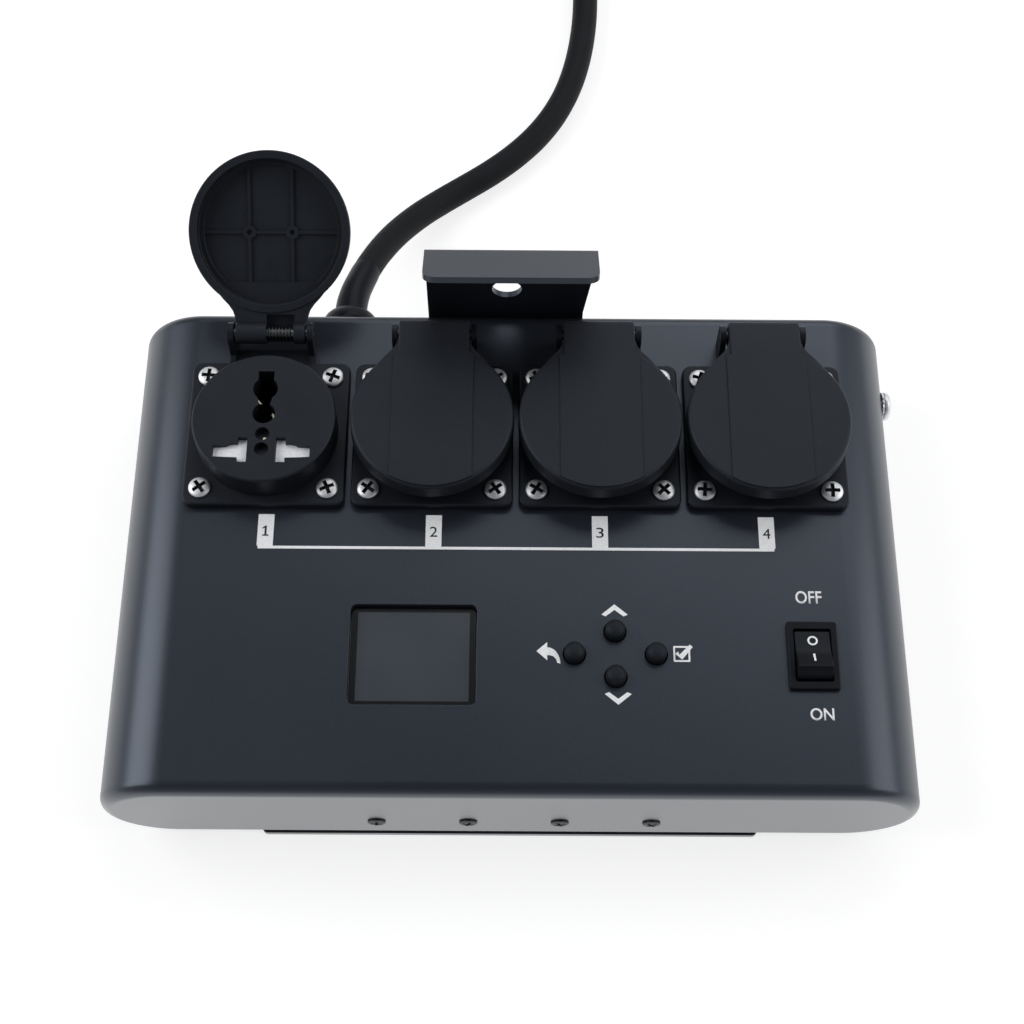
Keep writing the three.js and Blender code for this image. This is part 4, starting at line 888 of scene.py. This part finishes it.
def screw_set(name, sizes, spots, finish, nodes=(), tilt=0.0):
    """One screw copied onto its spots, tipped about the x axis."""
    screw = pan_screw(*sizes)
    holder = surface("points", [spots], [])
    step = modified(holder, "NODES", node_group=copies)
    for key, value in {"Copy": screw, "Spin": tau, "Tilt": (tilt, 0, 0), "Finish": finish.material}.items():
        step[copy_inputs[key]] = value
    made = settle(keep_result(holder), name, finish, nodes)
    drop(screw)
    print(name, "faces:", len(made.data.polygons))


screw_spots = [
    (x + sx * SCREW_REACH, OUTLET_Y + sy * SCREW_REACH, PANEL_Z + 3.02)
    for x in OUTLET_X for sx, sy in ((-1, 1), (1, 1), (1, -1), (-1, -1))
]
front_spots = [(x, -80.55, FRONT_SCREW_Z) for x in FRONT_SCREWS]
base_spots = [(x, y, 0.66) for x, y in BASE_SCREWS]
outlet_nodes = [f"socket_{n}_screw_{k}" for n in range(1, 5) for k in range(1, 5)]
front_nodes = [f"front_screw_{k}" for k in range(1, 5)]
OUTLET_SCREW, FRONT_SCREW, BASE_SCREW = (3.4, 1.5, 4.7, 1.25), (2.75, 0.8, 3.4, 0.65), (2.9, 0.55, 2.9, 0.5)
screw_set("outlet_screws", OUTLET_SCREW, screw_spots, steel, outlet_nodes)
screw_set("front_cap_screws", FRONT_SCREW, front_spots, blackened, front_nodes, pi / 2)
screw_set("base_screws", BASE_SCREW, base_spots, blackened, tilt=pi)

# %% [markdown]
# ## Outlets
# An outlet is a square flange with a raised round face that takes the plugs of many countries:
# a keyhole for the earth pin, and on each side a slot for a blade that opens into a flat one.
# It is made once about its own centre, then copied along the panel.

# %% Outlet body
FACE_Z, HINGE_Y, HINGE_Z = 13.0, 31.6, 10.0


def rounded_profile(radius, low, high, edge, steps=5):
    """The side of a round piece with a rounded upper edge."""
    return [(radius, low)] + arc(edge, 0, pi / 2, steps, radius - edge, high - edge)


flange = bevel(prism(box_outline(50, 50, 3, 7), 0, 3), 0.7, 3, 50)
collar = turned([(20.8, -8), (20.8, 0.5)] + rounded_profile(22.15, 0.6, FACE_Z, 0.7), 96)
ear_line = [(HINGE_Y - 8.2, 0.5), (HINGE_Y + 3.4, 0.0)] + arc(3.4, 0, pi, 16, HINGE_Y, HINGE_Z)
ear_line += [(HINGE_Y - 4.4, 3.6), (HINGE_Y - 8.2, 2.6)]
ears = [prism(ear_line, side * 12.5 - 0.9, side * 12.5 + 0.9, "X") for side in (-1, 1)]
bridge = prism(box_outline(26.8, 6.5, 0.8, 3, 0, 26.6), 0.0, 2.6)
outlet = join(flange, collar, bridge, *ears)
blade_slot = [
    (4.4, -7.1), (7.3, -7.1), (7.3, -8.9), (8.6, -8.75), (9.9, -9.0), (11.1, -9.7), (14.8, -9.9),
    (14.8, -13.7), (11.0, -13.9), (7.3, -14.0), (7.3, -15.5), (4.4, -15.5),
]
keyhole = [(2.45, 16.1), (-2.45, 16.1)] + arc(3.85, radians(129), radians(233), 14, 0, 10)
keyhole += arc(3.5, radians(119), radians(421), 28, 0, 1.3) + arc(3.85, radians(-53), radians(51), 14, 0, 10)
pin_cuts = [prism(outline, -6, 15) for outline in (keyhole, blade_slot, [(-x, y) for x, y in blade_slot])]
pin_cuts += [prism(round_outline(2.2, 28, 0, y), 10.6, 15) for y in (-5.8, -11)]
pin_cuts.append(prism(round_outline(1.6, 24, HINGE_Y, HINGE_Z), -16, 16, "X"))
outlet = eased(cut(outlet, *pin_cuts), 0.18, 2, 50)
print("outlet faces:", len(outlet.data.polygons))

# %% [markdown]
# Bright spring contacts show deep in the earth keyhole, and white safety shutters stand just
# under the live and neutral slots. The shutter is one U-shaped slide with a rounded ramp.

# %% Contacts, shutters and copies of the outlet
contact_bits = [
    prism([(-3.3, 8.2), (-2.6, 8.0), (-1.2, 6.4), (-1.7, 6.1), (-3.2, 7.6)], 3, 9.5),
    prism([(3.3, 8.2), (2.6, 8.0), (1.9, 6.4), (2.3, 6.1), (3.3, 7.6)], 3, 9.5),
    prism([(2.2, 3.1), (3.0, 2.4), (3.2, 0.6), (2.6, 0.8), (2.0, 2.2)], 3, 10.2),
    prism(round_outline(0.62, 14, 0.5, -6.6), 10.7, 11.0),
]
contacts = eased(merged(*contact_bits), 0.12, 1)
ramp, RAMP_LOW = [], 9.75
for along_y, high in ((-18.6, 10.6), (-15.9, 11.0), (-12.6, 11.2), (-8.6, 11.2), (-6.5, 10.7)):
    half = min(15.1, sqrt(21 ** 2 - along_y ** 2) - 0.2)
    corners = ((-half, RAMP_LOW), (half, RAMP_LOW), (half, high), (-half, high))
    ramp.append([(x, along_y, z) for x, z in corners])
shutter = eased(cut(loft(ramp), prism(box_outline(8.3, 14, 0.5, 3, 0, -9.8), 9, 12)), 0.2, 2, 50)
for n, x in enumerate(OUTLET_X, 1):
    at, shutter_body = (x, OUTLET_Y, PANEL_Z), f"shutter_{n}_body"
    settle(copied(outlet, at), f"outlet_{n}", socket_plastic, (f"socket_{n}",))
    settle(copied(contacts, at), f"contacts_{n}", brass)
    settle(copied(shutter, at), f"shutter_slide_{n}", shutter_plastic, (f"shutter_{n}",), shutter_body)
for used in (outlet, contacts, shutter):
    drop(used)

# %% [markdown]
# ## Lids
# Each lid is a shallow cap with a raised band across its middle, which runs back into a tongue
# and ends in the hinge knuckle. Inside are a deep rim and a few moulded ribs, which the open lid
# shows, and the knuckle is notched from below for the spring that shuts the lid.

# %% Lid
RIB_X, NOTCH = 6.75, (-1.3, 7.4)
lid_profile = [(21.0, 14.3), (21.0, 13.45), (21.15, 13.3), (22.6, 13.3), (22.75, 13.15), (22.75, 9.6)]
lid_profile += [(22.95, 9.4), (25.0, 9.4), (25.3, 9.7), (25.25, 10.6)] + arc(1.2, 0, pi / 2, 8, 23.9, 14.2)
band = cut(
    bevel(prism(box_outline(25, 49.2, 1.2, 4, 0, -0.15), 14.6, 15.9), 0.3, 3, 50),
    cut(prism(box_outline(70, 70, 2, 2), 13, 18), prism(round_outline(24.4, 96), 12, 19)),
)
shoulder = [(18.3, 15.6), (16.9, 18.4), (15.0, 20.8), (13.2, 22.7), (11.9, 24.6), (11.2, 26.8), (11.0, 28.2)]
shoulder += [(-x, y) for x, y in reversed(shoulder)]
shoulder = cut(prism(shoulder, 9.8, 15.1), prism(round_outline(22.75, 96), 9, 13.3))
tongue_line = [(20.4, 13.6), (20.4, 15.85), (HINGE_Y + 0.6, 15.85), (HINGE_Y + 1.9, 15.3)]
tongue_line += [(HINGE_Y + 2.8, 14.0)] + arc(3.35, pi / 6, -pi, 21, HINGE_Y, HINGE_Z)
tongue_line += [(HINGE_Y - 4.4, 11.0), (22.9, 11.0), (22.9, 13.6)]
tongue = bevel(prism(tongue_line, -11, 11, "X"), 0.5, 3, 50)
lid = join(turned(lid_profile, 96), shoulder, band, tongue)
ribs = [prism(box_outline(1.0, 42.4, 0.3, 2, side * RIB_X, 0), 13.5, 14.6) for side in (-1, 1)]
ribs.append(prism(box_outline(42.4, 1.0, 0.3, 2, 0, 0), 13.5, 14.6))
ribs += [prism(round_outline(2.1, 24, side * RIB_X, 0), 13.42, 14.6) for side in (-1, 1)]
lid = join(lid, *ribs)
lid_cuts = [prism(round_outline(0.8, 16, side * RIB_X, 0), 12, 14.2) for side in (-1, 1)]
lid_cuts.append(prism(round_outline(1.6, 24, HINGE_Y, HINGE_Z), -14, 14, "X"))
notch_line = [(HINGE_Y - 6, 4), (HINGE_Y + 6, 4), (HINGE_Y + 6, 12.6), (HINGE_Y - 6, 12.6)]
lid_cuts.append(prism(notch_line, *NOTCH, "X"))
lid = eased(cut(lid, *lid_cuts), 0.2, 2, 50)
print("lid faces:", len(lid.data.polygons))

# %% Hinge pins, and the four lids in place
SPRING_TURNS, SPRING_STEPS, OPENED = 7, 18, radians(-145)
pin = turned([(1.2, -13.3), (1.5, -13.0), (1.5, 13.0), (1.2, 13.3)], 24)
hinge_pin = smooth(moved(pin, turn=Matrix.Rotation(pi / 2, 4, "Y")), 50)
spring_line, wound = [], SPRING_TURNS * SPRING_STEPS
for k in range(wound + 1):
    a, reach = tau * k / SPRING_STEPS, NOTCH[0] + 0.6 + (NOTCH[1] - NOTCH[0] - 1.2) * k / wound
    spring_line.append(Vector((reach, 1.95 * cos(a), 1.95 * sin(a))))
spring = sweep(spring_line, 0.35, 8)
for n, x in enumerate(OUTLET_X, 1):
    hinge_at = Matrix.Translation((x, OUTLET_Y + HINGE_Y, PANEL_Z + HINGE_Z))
    swing = Matrix.Rotation(OPENED if n == 1 else 0, 4, "X") @ Matrix.Translation((0, -HINGE_Y, -HINGE_Z))
    capped = copied(lid, turn=hinge_at @ swing)
    settle(capped, f"lid_cap_{n}", lid_plastic, (f"lid_{n}",), f"lid_{n}_body")
    settle(copied(hinge_pin, turn=hinge_at), f"hinge_pin_{n}", pin_steel_in_painted_shade, (f"lid_pin_{n}",))
    settle(copied(spring, turn=hinge_at), f"hinge_spring_{n}", blackened)
for used in (lid, hinge_pin, spring):
    drop(used)

# %% [markdown]
# ## Display and keys
# The window is smoked glass set two millimetres below the panel. A black border is printed round
# its back, and the switched-off screen shows as a flat slate grey. The border is painted by
# position, with soft steps on the window's own width and height.

# %% Display window
SCREEN_HALF, SCREEN_STEP = (16.75, 14.05), 0.15 * MM
window = Finish(
    "display window", "display_glass", Coat_Weight=1.0, Coat_Roughness=0.04, Specular_IOR_Level=0.5,
)
insides = []
for name, middle, half in zip("XY", DISPLAY, SCREEN_HALF):
    away = window.axis(name) - middle * MM
    insides.append(away.math("ABSOLUTE", away).below(half * MM, SCREEN_STEP))
cloud = window.noise(45, 3.0)
screen = window.blend(cloud, (0.043, 0.051, 0.061), (0.058, 0.067, 0.079))
window.paint(window.blend(insides[0] * insides[1], (0.004, 0.0045, 0.006), screen), 0.16 + 0.08 * cloud)
glass = eased(prism(box_outline(37.4, 31, 1.8, 6, *DISPLAY), PANEL_Z - 3.5, PANEL_Z - 2), 0.3, 2)
settle(glass, "display_window", window, ("display_lens",))

# %% [markdown]
# The keys are soft domes. Each one is turned from a half profile, with a small step at the foot.

# %% Keys
KEY_RADIUS, DOME_FOOT, DOME_RISE = 3.05, 2.1, 1.88
half_key = [(1.75, -6.7), (1.75, -3.8), (4.2, -3.8), (4.2, -2.85)]
half_key += [(KEY_RADIUS, -2.8), (KEY_RADIUS, DOME_FOOT)]
half_key += [(KEY_RADIUS * u ** 0.8, DOME_FOOT + DOME_RISE * v) for u, v in arc(1, 0, pi / 2, 12)[1:-1]]
half_key = [(radius, PANEL_Z + height) for radius, height in half_key]
for name, spot in KEYS.items():
    key = smooth(turned(half_key, 48, *spot), 50)
    settle(key, f"key_{name}_cap", key_rubber, (f"button_{name}",), f"key_{name}")

# %% [markdown]
# ## Rocker switch
# A square-cornered bezel frames a rocker that stands tipped to OFF: its far half lies level with
# the bezel and its near half rises. Its side profile is two chords and two arcs about the pivot.

# %% Bezel and rocker
bezel = bevel(prism(box_outline(15, 21.4, 0.9, 5, *SWITCH), PANEL_Z, PANEL_Z + 1.5), 0.4, 3, 50)
stem = prism(box_outline(12.6, 19.6, 0.3, 2, *SWITCH), PANEL_Z - 17, PANEL_Z + 0.4)
well = prism(box_outline(11.2, 16.6, 0.5, 3, *SWITCH), PANEL_Z - 9.3, PANEL_Z + 4)
frame_top = cut(join(bezel, stem), well)
tab_outlines = [box_outline(4.8, 0.8, 0.2, 2, SWITCH[0], SWITCH[1] + d) for d in (-7, 0, 7)]
tabs = merged(*[prism(outline, PANEL_Z - 24, PANEL_Z - 17.2) for outline in tab_outlines])
settle(eased(tabs, 0.1, 1), "switch_tabs", brass)
settle(eased(frame_top, 0.12, 2, 50), "switch_bezel", switch_plastic, ("switch_housing",))
PIVOT_Z, ROCK, TIP, TIPPED = PANEL_Z - 1.3, 8.0, radians(54.4), radians(-17.5)
HALF_SPAN, VALLEY, DIP_STEPS = ROCK * sin(TIP), 0.44 * ROCK, 5


def dip(reach):
    """Height of the rocker's face above its pivot, at a distance from the middle."""
    return VALLEY + (ROCK * cos(TIP) - VALLEY) * abs(reach / HALF_SPAN) ** 1.25


far_end = arc(ROCK, 0, pi / 2 - TIP, 12)
reaches = [HALF_SPAN * (1 - k / DIP_STEPS) for k in range(1, 2 * DIP_STEPS)]
side_line = far_end + [(reach, dip(reach)) for reach in reaches] + [(-u, v) for u, v in reversed(far_end)]
side_line += [(-ROCK / 2, -3), (ROCK / 2, -3)]
rocker_place = Matrix.Translation((*SWITCH, PIVOT_Z)) @ Matrix.Rotation(TIPPED, 4, "X")
rocker = moved(eased(prism(side_line, -5.3, 5.3, "X"), 0.35, 3, 50), turn=rocker_place)
settle(rocker, "rocker_cap", switch_plastic, ("switch_rocker",), "rocker")

# %% [markdown]
# ## Printing
# All marks are thin sheets of ink that lie on the panel: a bus line with a numbered box for each
# outlet, chevrons and symbols for the keys, and the switch's words. Lettering is made as text
# curves and turned into a mesh before it is placed.

# %% Ink shapes
INK, DIGIT_INK = (PANEL_Z + 0.01, PANEL_Z + 0.05), (PANEL_Z + 0.06, PANEL_Z + 0.09)
ROW, FRONT_EDGE = 1.2, -REAR_FACE


def at_spot(x, y):
    """A place on the panel, from the print's own middle line and the case's front edge."""
    return ROW + x, y + FRONT_EDGE


def words(text, width, height, spot, heights, boldness=0.0):
    """Lettering fitted to a printed width and height, centred on a spot."""
    data = bpy.data.curves.new("words", "FONT")
    data.body, data.fill_mode, data.offset, data.resolution_u = text, "FRONT", boldness, 4
    holder = linked("words", data)
    mesh = bpy.data.meshes.new_from_object(holder.evaluated_get(bpy.context.evaluated_depsgraph_get()))
    bpy.data.objects.remove(holder)
    xs, ys = [v.co.x for v in mesh.vertices], [v.co.y for v in mesh.vertices]
    for vertex in mesh.vertices:
        u = (vertex.co.x - min(xs)) / (max(xs) - min(xs)) - 0.5
        v = (vertex.co.y - min(ys)) / (max(ys) - min(ys)) - 0.5
        vertex.co = (spot[0] + u * width, spot[1] + v * height, heights[0])

    def thicken(shape):
        weld(shape, 1e-4)
        pushed = bmesh.ops.extrude_face_region(shape, geom=shape.faces[:])["geom"]
        corners = [part for part in pushed if isinstance(part, bmesh.types.BMVert)]
        bmesh.ops.translate(shape, vec=(0, 0, heights[1] - heights[0]), verts=corners)

    reshape(mesh, thicken, face_out)
    return linked("words", mesh)


def band_outline(points, width):
    """A stroke of even width along an open line."""
    line = [Vector(p) for p in points]
    left, rest = [], []
    for i, point in enumerate(line):
        way, turn_in = heading(line, i), 1.0
        if 0 < i < len(line) - 1:
            turn_in = 1 / max(cos((line[i] - line[i - 1]).angle(line[i + 1] - line[i]) / 2), 0.4)
        off = Vector((-way.y, way.x)) * width / 2 * turn_in
        left.append(tuple(point + off))
        rest.append(tuple(point - off))
    return left + rest[::-1]


DIGIT_X, BOX_Y, DIGIT_Y = (-76.5, -25.1, 25.8, 76.8), 83.05, 82.75
CHEVRON = [(-3.95, -1.35), (-2.7, -1.95), (0, 0.15), (2.7, -1.95), (3.95, -1.35), (0, 1.95)]
CHEVRON_SPOTS = ((29.7, 57.2, 1), (30.3, 29.4, -1))
ONE = [
    (-0.95, -1.7), (0.95, -1.7), (0.95, -1.25), (0.3, -1.25), (0.3, 1.7), (-0.15, 1.7), (-0.95, 1.1),
    (-0.95, 0.65), (-0.3, 1.0), (-0.3, -1.25), (-0.95, -1.25),
]
ARROW = [(-3.55, 0.55), (-0.35, 3.4), (-0.35, 1.75)]
ARROW += [(-0.35 + 3.9 * v, -3.4 + 5.15 * u) for u, v in arc(1, 0, pi / 2, 9)[1:-1]]
ARROW += [(3.55, -3.4), (2.6, -3.1), (2.3, -2.0), (1.5, -1.1), (0.5, -0.75), (-0.35, -0.7), (-0.35, -2.35)]
TICK = [(-1.5, 0.4), (-0.3, -1.0), (2.9, 2.6)]
ink = [prism(box_outline(157.5, 0.9, 0.1, 1, *at_spot(0.15, 77.3)), *INK)]
digits = [prism(shifted(ONE, *at_spot(DIGIT_X[0], DIGIT_Y)), *DIGIT_INK)]
digits += [words(digit, 2.3, 3.4, at_spot(x, DIGIT_Y), DIGIT_INK) for digit, x in zip("234", DIGIT_X[1:])]
ink += [prism(box_outline(4.9, 10.6, 0.1, 1, *at_spot(x, BOX_Y)), *INK) for x in DIGIT_X]
ink.append(words("OFF", 7.9, 4.1, at_spot(88.2, 61.8), INK, 0.015))
ink.append(words("ON", 7.0, 3.8, at_spot(89.8, 24.9), INK, 0.015))
for x, y, way in CHEVRON_SPOTS:
    ink.append(prism(shifted([(u, way * v) for u, v in CHEVRON], *at_spot(x, y)), *INK))
ink.append(prism(shifted(ARROW, *at_spot(9.85, 43.5)), *INK))
box_spot = at_spot(49.4, 43.4)
tick_box = prism(box_outline(5.0, 5.0, 0.3, 2, *box_spot), *INK)
ink.append(cut(tick_box, prism(box_outline(3.9, 3.9, 0.1, 1, *box_spot), 40, 48)))
ink.append(prism(band_outline(shifted(TICK, *box_spot), 1.15), *[z + 0.01 for z in INK]))
settle(merged(*ink), "panel_print", white_ink)
settle(merged(*digits), "box_digits", dark_ink)

# %% [markdown]
# The rocker carries a ring on its far half and a short bar on its near half. They are drawn flat
# and then tipped onto the rocker's two slopes.

# %% Rocker marks
RING_REACH, BAR_REACH, INK_THICK = 3.4, -2.7, 0.06
ring = cut(prism(round_outline(1.55, 32), 0, INK_THICK), prism(round_outline(1.0, 28), -1, 1))
bar = prism(box_outline(0.6, 3.1, 0.1, 2), 0, INK_THICK)
for mark, reach in ((ring, RING_REACH), (bar, BAR_REACH)):
    slope = atan2(dip(reach + 0.5) - dip(reach - 0.5), 1.0)
    at = Matrix.Translation((0, reach, dip(reach) + 0.05)) @ Matrix.Rotation(slope, 4, "X")
    moved(mark, turn=rocker_place @ at)
settle(merged(ring, bar), "rocker_marks", white_ink, body="rocker")

# %% [markdown]
# ## Cord gland
# The gland is a nylon nut and a short dome on a threaded stub. A thin sleeve grows out of it and
# tapers down onto the cord, which keeps the bend gentle. The sleeve is swept along the cord's own
# first points, so it bends with it.

# %% Gland and sleeve
SLEEVE_START, SLEEVE_END, SLEEVE_POINTS = 5.5, 4.9, 24
nut = bevel(prism(round_outline(10.9, 6, start=pi / 6), 0.3, 6), 0.5, 3, 50)
washer = turned([(10.4, 0.02), (10.4, 0.32)], 48)
dome_profile = [(9.4, 5.8), (9.7, 6.3), (9.6, 7.4), (9.2, 8.8), (8.5, 10.1), (7.7, 11.0)]
dome = turned(dome_profile + [(7.2, 11.4), (6.7, 11.5), (4.6, 11.5)], 64)
stub = turned([(7.6, -8.0), (7.6, 0.4)], 48)
lock_nut = prism(round_outline(10.4, 6), -8.0, -4.4)
gland = merged(smooth(nut), smooth(washer, 50), smooth(dome, 50), smooth(stub, 50), smooth(lock_nut))
moved(gland, (GLAND[0], REAR_FACE, GLAND[1]), Matrix.Rotation(-pi / 2, 4, "X"))
sleeve_line = [Vector((GLAND[0], y, GLAND[1])) for y in (86.0, 90.0, 92.0)] + cord_line[1:SLEEVE_POINTS]
shrink = SLEEVE_START - SLEEVE_END
sleeve = sweep(sleeve_line, lambda share: SLEEVE_START - shrink * share - (0.12 if share == 1 else 0), 32)
settle(merged(gland, sleeve), "gland_relief", switch_plastic, ("cord_gland",))
sleeve_length = sum((b - a).length for a, b in zip(sleeve_line, sleeve_line[1:]))
print("sleeve length, mm:", round(sleeve_length, 1))

# %% [markdown]
# ## Data connectors
# The two round connectors on the back are not in the photograph. They follow the usual panel
# pattern: a flange with two screws, a deep cup with three pins for the input, and an insert with
# three holes and a latch for the output.

# %% Data input and output


def connector(x, female):
    def rod(radius, sides, low, high, at=(x, MIDDLE_Z)):
        return prism(round_outline(radius, sides, *at), low, high, "Y")

    flange = bevel(prism(box_outline(26, 31, 2.5, 6, x, MIDDLE_Z), 80.52, 82.3, "Y"), 0.4, 3, 50)
    body = cut(join(flange, rod(11.7, 72, 60.6, 82.5)), rod(9.6, 72, 68.5, 90))
    body = eased(body, 0.25, 2, 50)
    spots = round_outline(4.8, 3, x, MIDDLE_Z, pi / 2)
    if not female:
        pins = merged(*[rod(1.25, 20, 68.4, 79.2, spot) for spot in spots])
        return body, eased(pins, 0.35, 2, 50)
    core = cut(rod(8.2, 64, 68.6, 81.4), *[rod(1.6, 20, 70, 84, spot) for spot in spots])
    latch = bevel(prism(box_outline(7, 3.2, 0.6, 3, x, MIDDLE_Z + 12.2), 82.1, 82.5, "Y"), 0.1, 1)
    return merged(body, eased(core, 0.25, 2, 50), latch), None


body_in, pins_in = connector(DATA_X[0], False)
settle(body_in, "data_input", socket_plastic, ("dmx_in",))
settle(pins_in, "data_pins", brass)
body_out, _ = connector(DATA_X[1], True)
settle(body_out, "data_output", socket_plastic, ("dmx_out",))
data_spots = [(x + s * 9.9, 81.8, MIDDLE_Z + s * 12.2) for x in DATA_X for s in (-1, 1)]
screw_set("data_screws", (2.4, 0.7, 2.6, 0.6), data_spots, steel, tilt=-pi / 2)

# %% [markdown]
# ## Earth screw
# A bright screw with a toothed washer stands on the case's right side, for the safety earth.

# %% Earth screw and washer
TEETH, TOOTH_TOP, TOOTH_ROOT = 36, 4.75, 4.3
earth_head = moved(pan_screw(4.6, 2.5, 5.2, 1.7), (0, 0, 0.8))
tops, roots = round_outline(TOOTH_TOP, TEETH), round_outline(TOOTH_ROOT, TEETH)
teeth = [tops[k] if k % 2 else roots[k] for k in range(TEETH)]
tooth_washer = eased(prism(teeth, 0.15, 0.8), 0.08, 1, 50)
earth_shank = smooth(turned([(2.3, -11), (2.3, 0.3)], 32), 50)
earth = merged(earth_head, tooth_washer, earth_shank)
moved(earth, (SIDE_FACE, EARTH_Y, MIDDLE_Z), Matrix.Rotation(pi / 2, 4, "Y"))
earth = settle(earth, "earth_screw_head", steel, ("earth_screw",))
print("earth screw faces:", len(earth.data.polygons))

# %% [markdown]
# ## Inside the case
# The boards, the heat bar and the choke are sealed in. Their solids keep their shape and get
# their finishes: lacquered green board with pale tracks, milled aluminium and wound wire.

# %% Finishes of the inner parts
BLACK, WHITE = (0, 0, 0, 1), (1, 1, 1, 1)
green = Finish("green circuit board", Coat_Weight=0.4, Coat_Roughness=0.2)
tracks = green.node("ShaderNodeTexBrick", {"offset": 0.37}, {
    "Vector": green.place(), "Scale": 95.0, "Mortar Size": 0.06, "Color1": BLACK, "Color2": BLACK,
    "Mortar": WHITE,
}, output="Fac")
lacquer = green.noise(500)
green_tone = green.blend(tracks * 0.5, (0.012, 0.11, 0.04), (0.05, 0.26, 0.1))
green.paint(green_tone, 0.35 + 0.2 * lacquer, height=tracks * 0.5 + lacquer * 0.2, relief=0.04)
winding = Finish("choke winding", Coat_Weight=0.6, Coat_Roughness=0.15)
rings_kind = {"wave_type": "RINGS", "rings_direction": "SPHERICAL"}
wires = winding.node("ShaderNodeTexWave", rings_kind, {"Scale": 350.0}, output="Fac")
copper = winding.blend(wires, (0.16, 0.04, 0.012), (0.5, 0.17, 0.05))
winding.paint(copper, 0.25 + 0.2 * wires, height=wires, relief=0.2)
inner = {
    "display_module": module_metal, "control_board": green, "main_board": green, "triac_bar": bar_metal,
    "filter_choke": winding,
}
for node_name, finish in inner.items():
    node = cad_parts[node_name]
    node.data.materials.clear()
    node.data.materials.append(finish.material)
print("inner pieces:", len(inner))
